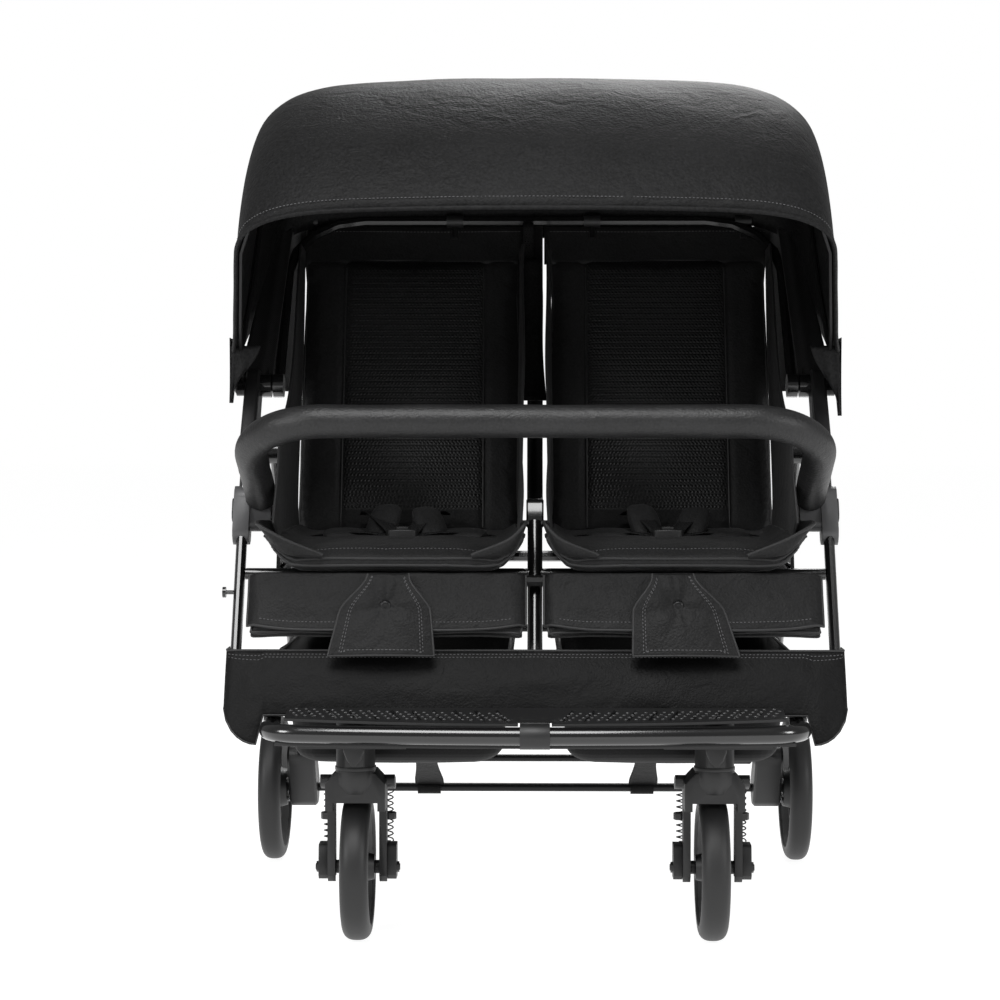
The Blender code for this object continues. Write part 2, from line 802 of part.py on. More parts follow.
def leg_path(top_extra=0):
    """The front leg's centre line in the side plane, from its toe up into the knuckle."""
    toe_z = BEAM_Z - BEAM_H / 2
    rise = FOLD_PIVOT - LEG_BEND
    top = LEG_BEND + rise * (1 - (EYE_R + 22 * MM) / rise.length) + rise.normalized() * top_extra
    toe = Vector((0, leg_y(toe_z), toe_z))
    ends = [(toe.y, toe.z, 0), (LEG_BEND.y, LEG_BEND.z, 0), (top.y, top.z, 0)]
    return rounded(ends, 110 * MM, 3)


def front_leg(tag, side):
    """An oval tube leg; the left one carries the stud that holds the stroller folded."""
    x = side * FRAME_HALF
    leg = oval_tube("front_leg_" + tag, leg_path(), TUBE_DEEP, TUBE_W, side_plane(x))
    if side < 0:
        stud_z = 409 * MM
        outer = x - TUBE_W / 2
        shank = rod("latch_shank", (outer + 3 * MM, leg_y(stud_z), stud_z), (outer - 11 * MM, leg_y(stud_z), stud_z), 2.5 * MM, 8, True)
        head = rod("latch_head", (outer - 9 * MM, leg_y(stud_z), stud_z), (outer - 13 * MM, leg_y(stud_z), stud_z), 6.5 * MM, 12, True)
        joined(leg, hang(shank), hang(head))
    return hang(paint(leg, "gloss_tube"))


def leg_cutter(name, side, extra=0):
    """The room that a front leg takes in a piece that holds it."""
    tube = oval_tube(
        name, leg_path(extra), TUBE_DEEP + 2 * FIT, TUBE_W + 2 * FIT, side_plane(side * FRAME_HALF), guide=True
    )
    return hang(tube)


def knuckle(tag, side):
    """The moulded hinge block: socket for the leg, handle pivot, and the rear leg's stud."""
    span = sorted((side * knuckle_inner, side * knuckle_outer))
    toward = (LEG_BEND - FOLD_PIVOT).normalized()
    collar = LEG_BEND - toward * 30 * MM
    block = slab(
        "knuckle_" + tag,
        [
            (FOLD_PIVOT.y, FOLD_PIVOT.z, EYE_R + 6 * MM),
            (LEG_PIVOT.y, LEG_PIVOT.z, EYE_R + 1 * MM),
            (collar.y, collar.z, TUBE_DEEP / 2 + 4 * MM),
        ],
        span[0],
        span[1],
        edge=2.5 * MM,
    )
    bored(block, leg_cutter("knuckle_socket_" + tag, side, FIT))
    bore = rod(
        "knuckle_bore_" + tag,
        (side * (knuckle_inner - 5 * MM), FOLD_PIVOT.y, FOLD_PIVOT.z),
        (side * (knuckle_outer + 5 * MM), FOLD_PIVOT.y, FOLD_PIVOT.z),
        PIN_R + BORE_FIT,
        guide=True,
    )
    bored(block, hang(bore))
    stud = rod(
        "knuckle_stud_" + tag,
        (side * (knuckle_inner + 4 * MM), LEG_PIVOT.y, LEG_PIVOT.z),
        (side * (plate_inner + 0.5 * MM), LEG_PIVOT.y, LEG_PIVOT.z),
        PIN_R,
        guide=True,
    )
    shoulder = rod(
        "knuckle_shoulder_" + tag,
        (side * (knuckle_inner + 2 * MM), LEG_PIVOT.y, LEG_PIVOT.z),
        (side * (lane_rear + TUBE_W / 2 + FIT), LEG_PIVOT.y, LEG_PIVOT.z),
        PIN_R + 4 * MM,
        guide=True,
    )
    joined(block, hang(shoulder), hang(stud))
    return hang(paint(block, "satin_plastic"))


def pivot_bolt(tag, side):
    """The long bolt that the handle, the canopy bows and the rear bow turn on."""
    out = pin_head
    inner = lane_rear - TUBE_W / 2
    profile = [
        (out + 2.5 * MM, 0),
        (out + 2.5 * MM, 7 * MM),
        (out + 1 * MM, 10 * MM),
        (out, 10 * MM),
        (out, PIN_R),
        (inner, PIN_R),
        (inner, 0),
    ]
    bolt = turned("pivot_bolt_" + tag, profile, (0, FOLD_PIVOT.y, FOLD_PIVOT.z), 12, closed=False)
    if side < 0:
        bolt.rotation_euler = (0, math.radians(-90), 0)
    return hang(paint(bolt, "black_steel"))


def eye(name, lane, point, radius=EYE_R, half=TUBE_W / 2):
    """The round end of a tube or bow on its pivot."""
    return hang(rod(name, (lane - half, point.y, point.z), (lane + half, point.y, point.z), radius, 12, True))


def eye_bore(name, lane, point, half=TUBE_W):
    return hang(
        rod(name, (lane - half, point.y, point.z), (lane + half, point.y, point.z), PIN_R + BORE_FIT, 12, True)
    )


def handle():
    """The push handle: one oval tube bent to a U, its ends turning on the pivot bolts."""
    turn = joint("handle_fold_axis", FOLD_PIVOT, stroller)
    plane = tilted_plane(FOLD_PIVOT, HANDLE_ANGLE)
    path = u_shape(lane_handle, HANDLE_LENGTH, HANDLE_CORNER_R)
    tube = oval_tube("handle_tube", path, TUBE_W, TUBE_DEEP, plane)
    for tag, side in SIDES.items():
        joined(tube, eye("handle_eye_" + tag, side * lane_handle, FOLD_PIVOT))
    for tag, side in SIDES.items():
        bored(tube, eye_bore("handle_bore_" + tag, side * lane_handle, FOLD_PIVOT))
    hang(paint(tube, "gloss_tube"), turn)
    along = Vector((0, math.cos(HANDLE_ANGLE), math.sin(HANDLE_ANGLE)))
    bar = FOLD_PIVOT + along * HANDLE_LENGTH
    grip = rod("handle_grip", bar - Vector((GRIP_HALF, 0, 0)), bar + Vector((GRIP_HALF, 0, 0)), GRIP_R, 16)
    soften(grip, 3 * MM, 1, 60)
    core_path = [(-GRIP_HALF - 5 * MM, HANDLE_LENGTH), (GRIP_HALF + 5 * MM, HANDLE_LENGTH)]
    core = oval_tube("grip_core", core_path, TUBE_W + 2 * FIT, TUBE_DEEP + 2 * FIT, plane, guide=True)
    button_half, button_deep = 20 * MM, 5 * MM
    pocket = box(
        "grip_pocket",
        (-button_half - FIT, TUBE_W / 2 + 2 * MM, -button_deep - FIT),
        (button_half + FIT, GRIP_R + 5 * MM, button_deep + FIT),
        guide=True,
    )
    pocket.matrix_world = tilted_plane(bar, HANDLE_ANGLE)
    bored(grip, hang(core), hang(pocket))
    hang(paint(grip, "leatherette"), turn)
    press = joint("fold_button_axis", bar, turn)
    button = box(
        "fold_button",
        (-button_half, TUBE_W / 2 + 2 * MM + 3 * MM + FIT, -button_deep),
        (button_half, GRIP_R + 2.5 * MM, button_deep),
        1.2 * MM,
    )
    button.matrix_world = tilted_plane(bar, HANDLE_ANGLE)
    hang(paint(button, "satin_plastic"), press)


def bumper_socket(tag, side):
    """A moulded sleeve round the front leg with the socket for the bumper bar."""
    along = Vector((0, math.cos(BUMPER_TILT), -math.sin(BUMPER_TILT)))
    seat = BUMPER_END + along * (14 * MM + FIT)
    low, high = 480 * MM, 519 * MM
    sleeve_r = TUBE_DEEP / 2 + 4 * MM
    outer = side * (FRAME_HALF + TUBE_W / 2 + FIT + 3.7 * MM)
    inner = side * (FRAME_HALF - TUBE_W / 2 - FIT - 2.2 * MM)
    span = sorted((inner, outer))
    sleeve = slab(
        "bumper_socket_" + tag,
        [(leg_y(low), low, sleeve_r), (leg_y(high), high, sleeve_r)],
        span[0],
        span[1],
    )
    lug_x = sorted((side * (BUMPER_HALF - 12 * MM), side * (FRAME_HALF - TUBE_W / 2 - 1 * MM)))
    lug = slab(
        "socket_lug_" + tag,
        [(seat.y, seat.z, 14 * MM), (leg_y(low + 12 * MM), low + 10 * MM, 10 * MM)],
        lug_x[0],
        lug_x[1],
        sides=10,
        guide=True,
    )
    joined(sleeve, hang(lug))
    bored(sleeve, leg_cutter("socket_room_" + tag, side))
    start = BUMPER_END - along * 5 * MM
    end = BUMPER_END + along * (BUMPER_PLUG + FIT)
    offset = Vector((side * BUMPER_HALF, 0, 0))
    bored(sleeve, hang(rod("socket_bore_" + tag, offset + start, offset + end, 8 * MM + FIT, 12, True)))
    wall = FRAME_HALF + TUBE_W / 2 + FIT + 1 * MM
    button_circles = [(leg_y(high) - 2 * MM, 514 * MM, 6.5 * MM), (leg_y(high) - 6 * MM, 499 * MM, 8.5 * MM)]
    room = sorted((side * wall, side * (wall + 20 * MM)))
    grown = [(y, z, r + FIT) for y, z, r in button_circles]
    bored(sleeve, hang(slab("button_room_" + tag, grown, room[0], room[1], guide=True)))
    hang(paint(sleeve, "satin_plastic"))
    middle = Vector((side * wall, leg_y(507 * MM), 507 * MM))
    press = joint("bumper_button_axis_" + tag, middle, stroller)
    span = sorted((side * (wall + 2 * MM + FIT), side * (wall + 6 * MM)))
    button = slab("bumper_button_" + tag, button_circles, span[0], span[1], edge=1 * MM, sides=8)
    hang(paint(button, "satin_plastic"), press)


def bumper():
    """The padded bar in front of the seats, with a plug at each end for its socket."""
    pull = joint("bumper_axis", BUMPER_END, stroller)
    plane = tilted_plane(BUMPER_END, math.pi - BUMPER_TILT)
    path = u_shape(BUMPER_HALF, BUMPER_REACH, BUMPER_CORNER_R)
    bar = wire("bumper_bar", path, BUMPER_PAD_R, 2)
    bar.matrix_world = plane
    bar = solid(bar)
    soften(bar, 4 * MM, 1, 60)
    along = Vector((0, math.cos(BUMPER_TILT), -math.sin(BUMPER_TILT)))
    for tag, side in SIDES.items():
        offset = Vector((side * BUMPER_HALF, 0, 0))
        plug = rod(
            "bumper_plug_" + tag,
            offset + BUMPER_END - along * 10 * MM,
            offset + BUMPER_END + along * BUMPER_PLUG,
            8 * MM,
            12,
            True,
        )
        joined(bar, hang(plug))
    return hang(paint(bar, "leatherette"), pull)


def seat_frame():
    """The seat hoop with its hinge tubes, the cross tube between the legs and two lock plates."""
    half = plate_inner - BRACE_R - 1 * MM
    slope = math.atan2(SEAT_REAR.z - SEAT_FRONT.z, SEAT_REAR.y - SEAT_FRONT.y)
    length = (SEAT_REAR - SEAT_FRONT).length
    corner = 26 * MM
    middle = length / 2
    ends = [(0, 0), (half, 0), (half, length), (-half, length), (-half, 0), (0, 0)]
    path = rounded([(u, v, 0) for u, v in ends], corner, 3)
    curve = wire("seat_frame", path[:-1], BRACE_R, 2)
    curve.data.splines[0].use_cyclic_u = True
    curve.data.use_fill_caps = False
    curve.matrix_world = tilted_plane(SEAT_FRONT, slope)
    hoop = solid(curve)
    cross_z = seat_cross
    reach = FRAME_HALF - TUBE_W / 2 - FIT
    cross = rod(
        "seat_cross", (-reach, leg_y(cross_z), cross_z), (reach, leg_y(cross_z), cross_z), BRACE_R, 12, True
    )
    joined(hoop, hang(cross))
    at_rest = math.atan2(rear_axle.z - LEG_PIVOT.z, rear_axle.y - LEG_PIVOT.y)
    for tag, side in SIDES.items():
        span = sorted((side * plate_inner, side * plate_outer))
        lows = [SEAT_FRONT + (SEAT_REAR - SEAT_FRONT) * share for share in (0.36, 0.56)]
        circles = [(LEG_PIVOT.y, LEG_PIVOT.z, EYE_R)]
        for turn in (0, -REAR_FOLD):
            angle = at_rest + turn
            y = LEG_PIVOT.y + LOCK_SLOT_R * math.cos(angle)
            z = LEG_PIVOT.z + LOCK_SLOT_R * math.sin(angle)
            circles.append((y, z, 12 * MM))
        circles += [(point.y, point.z, 9 * MM) for point in lows]
        plate = slab("lock_plate_" + tag, circles, span[0], span[1], sides=8, guide=True)
        joined(hoop, hang(plate))
        for end, point in zip("ab", lows):
            boss_x = sorted((side * (half - 1 * MM), side * (plate_inner + 1 * MM)))
            boss = rod(
                "plate_boss_%s_%s" % (tag, end),
                (boss_x[0], point.y, point.z),
                (boss_x[1], point.y, point.z),
                5.5 * MM,
                8,
                True,
            )
            joined(hoop, hang(boss))
        bored(hoop, eye_bore("plate_bore_" + tag, side * plate_inner, LEG_PIVOT))
        bored(hoop, lock_slot("lock_slot_" + tag, side, at_rest))
    return hang(paint(hoop, "gloss_tube"))


def lock_slot(name, side, at_rest):
    """The curved slot that the rear leg's lock stud rides in as the leg folds."""
    half = 4.4 * MM
    steps = 4
    margin = half / LOCK_SLOT_R
    rims = []
    for radius, order in ((LOCK_SLOT_R - half, 1), (LOCK_SLOT_R + half, -1)):
        rim = []
        for i in range(steps + 1):
            angle = at_rest + margin - (REAR_FOLD + 2 * margin) * i / steps
            rim.append((LEG_PIVOT.y + radius * math.cos(angle), LEG_PIVOT.z + radius * math.sin(angle)))
        rims += rim[::order]
    bm = bmesh.new()
    low_x = side * (plate_inner - 3 * MM)
    face = bm.faces.new([bm.verts.new((low_x, y, z)) for y, z in rims])
    grown = bmesh.ops.extrude_face_region(bm, geom=[face])["geom"]
    moved = [item for item in grown if isinstance(item, bmesh.types.BMVert)]
    bmesh.ops.translate(bm, vec=(side * (PLATE_W + 6 * MM), 0, 0), verts=moved)
    bmesh.ops.recalc_face_normals(bm, faces=bm.faces)
    return hang(from_bmesh(name, bm, guide=True))


def rear_bow():
    """The fixed bow behind the canopy, which the backrests' clips hang on."""
    rise = BACK_TOP - FOLD_PIVOT
    plane = tilted_plane(FOLD_PIVOT, math.atan2(rise.z, rise.y))
    bow = wire("rear_bow", u_shape(lane_rear, rise.length, REAR_BOW_CORNER_R), TUBE_W / 2, 2)
    bow.matrix_world = plane
    bow = solid(bow)
    for tag, side in SIDES.items():
        joined(bow, eye("rear_bow_eye_" + tag, side * lane_rear, FOLD_PIVOT))
    for tag, side in SIDES.items():
        bored(bow, eye_bore("rear_bow_bore_" + tag, side * lane_rear, FOLD_PIVOT))
    return hang(paint(bow, "gloss_tube"))


def centre_leg():
    """The leg between the seats, which grips the seat's cross tube, with its block on top."""
    deep = TUBE_DEEP
    width = 18.5 * MM
    foot = BEAM_Z + BEAM_H / 2 + FIT + deep / 2 * math.sin(LEG_SLOPE)
    head = 490 * MM
    path = [(leg_y(foot), foot), (leg_y(head), head)]
    leg = oval_tube("centre_leg", path, deep, width, side_plane(0))
    block = slab(
        "centre_block",
        [(leg_y(492 * MM), 492 * MM, 8 * MM), (leg_y(512 * MM), 512 * MM, 8 * MM)],
        -10.5 * MM,
        10.5 * MM,
        edge=2 * MM,
        guide=True,
    )
    joined(leg, hang(block))
    cross_z = seat_cross
    room = rod(
        "centre_leg_notch",
        (-20 * MM, leg_y(cross_z), cross_z),
        (20 * MM, leg_y(cross_z), cross_z),
        BRACE_R + FIT,
        12,
        True,
    )
    bored(leg, hang(room))
    return hang(paint(leg, "gloss_tube"))


# Footrest


def foot_curve(x):
    """How far back the bowed footrest tube lies at x."""
    return -FOOT_FRONT + FOOT_BOW * (x / FOOT_HALF) ** 2


def footrest_tube():
    """One bent tube: bowed front, two arms, and ends turned up under the beam."""
    back = beam_y
    top = BEAM_Z - BEAM_H / 2 - FIT
    arm = [(FOOT_HALF, back, top), (FOOT_HALF, back, FOOT_TUBE_Z)]
    corner = [(FOOT_HALF, foot_curve(FOOT_HALF), FOOT_TUBE_Z)]
    shares = (0.76, 0.5, 0.25)
    bow = [(FOOT_HALF * s, foot_curve(FOOT_HALF * s), FOOT_TUBE_Z) for s in shares]
    rise = rounded([arm[0], arm[1], (FOOT_HALF, back - 40 * MM, FOOT_TUBE_Z)], 11.5 * MM, 3)
    turn = rounded([rise[-1], corner[0], bow[0]], 44 * MM, 4)
    half = rise[:-1] + turn[1:] + [Vector(point) for point in bow[1:]]
    whole = half + [Vector((0, -FOOT_FRONT, FOOT_TUBE_Z))]
    whole += [Vector((-point[0], point[1], point[2])) for point in half[::-1]]
    tube = wire("footrest_tube", whole, FOOT_TUBE_R, 2)
    return hang(paint(tube, "gloss_tube"))


def footrest_plate():
    """The thin plate on the tube, with slanted rows of holes fanning from the middle."""
    rear_y = stem_y - STEM_R - 2 * MM
    rear_z = FOOT_TUBE_Z + FOOT_TUBE_R + FIT + 10 * MM
    front_z = FOOT_TUBE_Z + FOOT_TUBE_R + FIT
    front_y = -FOOT_FRONT + 2 * MM
    slope = (rear_z - front_z) / (rear_y - front_y)
    clamp_half = 19 * MM
    shares = (1, 0.8, 0.6, 0.4, 0.2)
    edge = [(FOOT_PLATE_HALF * s, foot_curve(FOOT_PLATE_HALF * s) + 2 * MM) for s in shares]
    edge += [(clamp_half, foot_curve(0) + 2 * MM), (clamp_half, foot_curve(0) + 17 * MM)]
    outline = [(FOOT_PLATE_HALF, rear_y)] + edge
    outline += [(-x, y) for x, y in outline[::-1]]
    bm = bmesh.new()
    face = bm.faces.new([bm.verts.new((x, y, front_z + slope * (y - front_y))) for x, y in outline])
    grown = bmesh.ops.extrude_face_region(bm, geom=[face])["geom"]
    moved = [item for item in grown if isinstance(item, bmesh.types.BMVert)]
    bmesh.ops.translate(bm, vec=(0, 0, FOOT_PLATE_T), verts=moved)
    bmesh.ops.recalc_face_normals(bm, faces=bm.faces)
    plate = from_bmesh("footrest_plate", bm)
    bm = bmesh.new()
    spacing = (FOOT_PLATE_HALF - 24 * MM - clamp_half) / FOOT_SLOTS
    for side in (-1, 1):
        for i in range(FOOT_SLOTS):
            x = clamp_half + 14 * MM + spacing * i
            room = rear_y - foot_curve(x)
            start = Vector((side * x, foot_curve(x) + 12 * MM, 0))
            end = Vector((side * (x + 12 * MM), foot_curve(x) + room - 9 * MM, 0))
            slot_outline(bm, start, end, 2.2 * MM, front_z - 20 * MM, 60 * MM)
    bmesh.ops.recalc_face_normals(bm, faces=bm.faces)
    bored(plate, hang(from_bmesh("footrest_holes", bm, guide=True)))
    return hang(paint(plate, "satin_plastic"))


def slot_outline(bm, start, end, radius, low, deep):
    """One long hole's cutter, standing up from low."""
    along = (end - start).normalized()
    across = Vector((-along.y, along.x, 0))
    corners = [start + across * radius, end + across * radius]
    corners += [end - across * radius, start - across * radius]
    face = bm.faces.new([bm.verts.new((p.x, p.y, low)) for p in corners])
    grown = bmesh.ops.extrude_face_region(bm, geom=[face])["geom"]
    moved = [item for item in grown if isinstance(item, bmesh.types.BMVert)]
    bmesh.ops.translate(bm, vec=(0, 0, deep), verts=moved)


def footrest_tray():
    """The moulded tray under the tube, with the clamp that grips the tube in the middle."""
    top = FOOT_TUBE_Z - FOOT_TUBE_R - FIT
    rear_y = stem_y - STEM_R - 10 * MM
    half = FOOT_HALF - FOOT_TUBE_R - FIT
    shares = (1, 0.75, 0.5, 0.25)
    edge = [(half * s, foot_curve(half * s) + 3 * MM) for s in shares]
    outline = [(half, rear_y)] + edge
    outline += [(-x, y) for x, y in outline[::-1]]
    bm = bmesh.new()
    face = bm.faces.new([bm.verts.new((x, y, top)) for x, y in outline])
    grown = bmesh.ops.extrude_face_region(bm, geom=[face])["geom"]
    moved = [item for item in grown if isinstance(item, bmesh.types.BMVert)]
    bmesh.ops.translate(bm, vec=(0, 0, -4 * MM), verts=moved)
    bmesh.ops.recalc_face_normals(bm, faces=bm.faces)
    tray = from_bmesh("footrest_tray", bm)
    grip = Vector((0, -FOOT_FRONT, FOOT_TUBE_Z))
    across = Vector((17 * MM, 0, 0))
    clamp = rod("tray_clamp", grip - across, grip + across, FOOT_CLAMP_R, 16, True)
    room = rod("tray_clamp_bore", grip - 2 * across, grip + 2 * across, FOOT_TUBE_R + 2 * FIT, 16, True)
    joined(tray, hang(clamp))
    for tag, side in SIDES.items():
        x = side * FRONT_TRACK / 2
        rib = box(
            "tray_rib_" + tag,
            (x - 62 * MM, rear_y - 34 * MM, top - 8 * MM),
            (x + 62 * MM, rear_y - 10 * MM, top - 3 * MM),
            guide=True,
        )
        joined(tray, hang(rib))
    bored(tray, hang(room))
    return hang(paint(tray, "satin_plastic"))


# Rear legs and brake


def rear_leg(tag, side):
    """An oval tube leg that turns on the knuckle's stud, with the stud that rides in the slot."""
    x = side * lane_rear
    toward = (rear_axle - LEG_PIVOT).normalized()
    end = rear_axle - toward * 20 * MM
    path = [(LEG_PIVOT.y, LEG_PIVOT.z), (end.y, end.z)]
    leg = oval_tube("rear_leg_" + tag, path, TUBE_DEEP, TUBE_W, side_plane(x))
    joined(leg, eye("rear_leg_eye_" + tag, x, LEG_PIVOT))
    lock = LEG_PIVOT + toward * LOCK_SLOT_R
    stud = rod(
        "lock_stud_" + tag,
        (side * (lane_rear - 2 * MM), lock.y, lock.z),
        (side * (plate_inner + 0.5 * MM), lock.y, lock.z),
        3.6 * MM,
        10,
        True,
    )
    joined(leg, hang(stud))
    bored(leg, eye_bore("rear_leg_bore_" + tag, x, LEG_PIVOT))
    return hang(paint(leg, "gloss_tube"), "rear_fold_axis")


def foot_bracket(tag, side):
    """The moulded foot on a rear leg: it holds the axle, the brake bar and a brake pin."""
    inner = lane_rear - TUBE_W / 2 - 12 * MM
    outer = lane_handle + TUBE_W / 2 - 2 * MM
    span = sorted((side * inner, side * outer))
    foot = slab(
        "foot_bracket_" + tag,
        [
            (rear_axle.y, rear_axle.z, 26 * MM),
            (BRAKE_BAR.y - 6 * MM, BRAKE_BAR.z + 2 * MM, 17 * MM),
            (BRAKE_BAR.y + 8 * MM, BRAKE_BAR.z - 2 * MM, 16 * MM),
        ],
        span[0],
        span[1],
        edge=3 * MM,
    )
    toward = (rear_axle - LEG_PIVOT).normalized()
    start = rear_axle - toward * 120 * MM
    end = rear_axle - toward * (20 * MM - FIT)
    room = oval_tube(
        "foot_socket_" + tag,
        [(start.y, start.z), (end.y, end.z)],
        TUBE_DEEP + 2 * FIT,
        TUBE_W + 2 * FIT,
        side_plane(side * lane_rear),
        guide=True,
    )
    bored(foot, hang(room))
    axle = rod(
        "foot_axle_bore_" + tag,
        (side * (inner - 5 * MM), rear_axle.y, rear_axle.z),
        (side * (outer + 5 * MM), rear_axle.y, rear_axle.z),
        REAR_AXLE_R + BORE_FIT,
        12,
        True,
    )
    bar = rod(
        "foot_bar_bore_" + tag,
        (side * (inner - 5 * MM), BRAKE_BAR.y, BRAKE_BAR.z),
        (side * (inner + 9 * MM), BRAKE_BAR.y, BRAKE_BAR.z),
        BRAKE_BAR_R + BORE_FIT,
        12,
        True,
    )
    pin_z = rear_axle.z - BRAKE_PIN_REACH
    pin = rod(
        "foot_pin_bore_" + tag,
        (side * (inner + 14 * MM), rear_axle.y, pin_z),
        (side * (outer + 5 * MM), rear_axle.y, pin_z),
        BRAKE_PIN_R + BORE_FIT,
        10,
        True,
    )
    bored(foot, hang(axle), hang(bar), hang(pin))
    hang(paint(foot, "satin_plastic"), "rear_fold_axis")
    place = Vector((side * outer, rear_axle.y, pin_z))
    slide = joint("brake_pin_axis_" + tag, place, "rear_fold_axis")
    brake_pin = rod(
        "brake_pin_" + tag,
        (side * (inner + 15 * MM), rear_axle.y, pin_z),
        (side * (outer + 3 * MM), rear_axle.y, pin_z),
        BRAKE_PIN_R,
        10,
    )
    hang(paint(brake_pin, "steel"), slide)


def rear_axle_rod():
    """The steel rod between the feet that both rear wheels turn on."""
    reach = rear_wheel_x + REAR_WHEEL_W / 2
    axle = rod("rear_axle", (-reach, rear_axle.y, rear_axle.z), (reach, rear_axle.y, rear_axle.z), REAR_AXLE_R)
    return hang(paint(axle, "black_steel"), "rear_fold_axis")


def brake_bar():
    """The bar that links both brakes, with the pedal that turns it."""
    turn = joint("brake_axis", BRAKE_BAR, "rear_fold_axis")
    inner = lane_rear - TUBE_W / 2 - 12 * MM
    reach = inner + 8 * MM
    bar = rod("brake_bar", (-reach, BRAKE_BAR.y, BRAKE_BAR.z), (reach, BRAKE_BAR.y, BRAKE_BAR.z), BRAKE_BAR_R)
    pedal = slab(
        "brake_pedal",
        [(BRAKE_BAR.y, BRAKE_BAR.z, 8 * MM), (BRAKE_BAR.y + 62 * MM, BRAKE_BAR.z - 6 * MM, 6 * MM)],
        inner - 52 * MM,
        inner - 4 * MM,
        edge=2 * MM,
        guide=True,
    )
    joined(bar, hang(pedal))
    return hang(paint(bar, "black_steel"), turn)


# Soft goods


def cage(name, grid, top, bottom, levels=1):
    """A closed cushion: two sheets of grid points joined round their rim, then subdivided."""
    rows, columns = len(grid), len(grid[0])
    bm = bmesh.new()
    sheets = []
    for height in (top, bottom):
        sheets.append([[bm.verts.new(height(*grid[r][c])) for c in range(columns)] for r in range(rows)])
    for sheet in sheets:
        for r in range(rows - 1):
            for c in range(columns - 1):
                bm.faces.new((sheet[r][c], sheet[r][c + 1], sheet[r + 1][c + 1], sheet[r + 1][c]))
    rim = [edge for edge in bm.edges if edge.is_boundary]
    bmesh.ops.bridge_loops(bm, edges=rim)
    bmesh.ops.recalc_face_normals(bm, faces=bm.faces)
    obj = from_bmesh(name, bm)
    smooth = obj.modifiers.new("crown", "SUBSURF")
    smooth.levels = levels
    smooth.render_levels = levels
    return obj


def pad_bottom(y):
    """The height of the seat pads' flat underside."""
    cross_z = seat_cross
    slope = (SEAT_REAR.z - SEAT_FRONT.z) / (SEAT_REAR.y - SEAT_FRONT.y)
    lift = BRACE_R + FIT
    return cross_z + lift / math.cos(math.atan(slope)) + (y - leg_y(cross_z)) * slope


def seat_pad(tag, side):
    """A seat cushion whose sides rise to wings that flare at the front."""
    across = (0.0, 0.1, 0.5, 0.9, 1.0)
    deep = (0.0, 0.12, 0.38, 1.0)
    front_y, back_y = -4 * MM, SEAT_REAR.y - 12 * MM
    grid = [[(u, v) for u in across] for v in deep]

    def place(u, v, height):
        y = front_y + (back_y - front_y) * v
        flare = SEAT_WING_FLARE * max(0.0, 1 - v / 0.3)
        x = SEAT_INNER + (seat_outer + flare - SEAT_INNER) * u
        return (side * x, y, height)

    def wing(u, v):
        edge = max(0.0, abs(u - 0.5) - 0.42) / 0.08
        return SEAT_WING * edge * (1 - 0.55 * v)

    def top(u, v):
        y = front_y + (back_y - front_y) * v
        crown = 6 * MM * (1 - (2 * u - 1) ** 2) * (1 - abs(2 * v - 1))
        return place(u, v, pad_bottom(y) + SEAT_PAD_T + crown + wing(u, v))

    def bottom(u, v):
        y = front_y + (back_y - front_y) * v
        edge = max(0.0, abs(u - 0.5) - 0.44) / 0.06
        return place(u, v, pad_bottom(y) + 10 * MM * edge)

    pad = cage("seat_pad_" + tag, grid, top, bottom)
    return hang(paint(pad, "cloth"))


def backrest(tag, side):
    """A backrest that reclines on the seat frame's rear tube, held by two loops."""
    turn = joint("recline_axis_" + tag, (side * (SEAT_INNER + seat_outer) / 2, SEAT_REAR.y, SEAT_REAR.z), stroller)
    rise = BACK_TOP - SEAT_REAR
    up = rise.normalized()
    out = Vector((0, -up.z, up.y))
    length = rise.length - TUBE_W / 2 - 22 * MM
    across = (0.0, 0.1, 0.5, 0.9, 1.0)
    along = (0.0, 0.1, 0.5, 0.9, 1.0)
    grid = [[(u, v) for u in across] for v in along]
    start = 15 * MM

    def place(u, v, lift):
        narrow = 22 * MM * max(0.0, v - 0.8) / 0.2
        x = SEAT_INNER + narrow + (seat_outer - SEAT_INNER - 2 * narrow) * u
        point = SEAT_REAR + up * (start + (length - start) * v) + out * lift
        return (side * x, point.y, point.z)

    def top(u, v):
        crown = 5 * MM * (1 - (2 * u - 1) ** 2)
        return place(u, v, BACK_T / 2 + crown)

    def bottom(u, v):
        return place(u, v, -BACK_T / 2)

    pad = cage("backrest_" + tag, grid, top, bottom)
    inner = SEAT_INNER + 50 * MM
    outer = seat_outer - 50 * MM
    for end, middle in (("a", inner), ("b", outer)):
        joined(pad, *hinge_loop("back_loop_%s_%s" % (tag, end), side * middle, SEAT_REAR, up, 24 * MM))
    bore = rod(
        "back_bore_" + tag,
        (side * (inner - 30 * MM), SEAT_REAR.y, SEAT_REAR.z),
        (side * (outer + 30 * MM), SEAT_REAR.y, SEAT_REAR.z),
        BRACE_R + FIT,
        12,
        True,
    )
    bored(pad, hang(bore))
    return hang(paint(pad, "cloth"), turn)


def hinge_loop(name, x, axis, up, reach):
    """The loop that turns on a hinge tube, and its neck."""
    half = 14 * MM
    outer = BRACE_R + FIT + SLEEVE_WALL
    loop = rod(name, (x - half, axis.y, axis.z), (x + half, axis.y, axis.z), outer, 10, True)
    tip = axis + up * reach
    ends = [(axis.y, axis.z, 5 * MM), (tip.y, tip.z, 5 * MM)]
    neck = slab(name + "_neck", ends, x - half, x + half, sides=6, guide=True)
    return hang(loop), hang(neck)


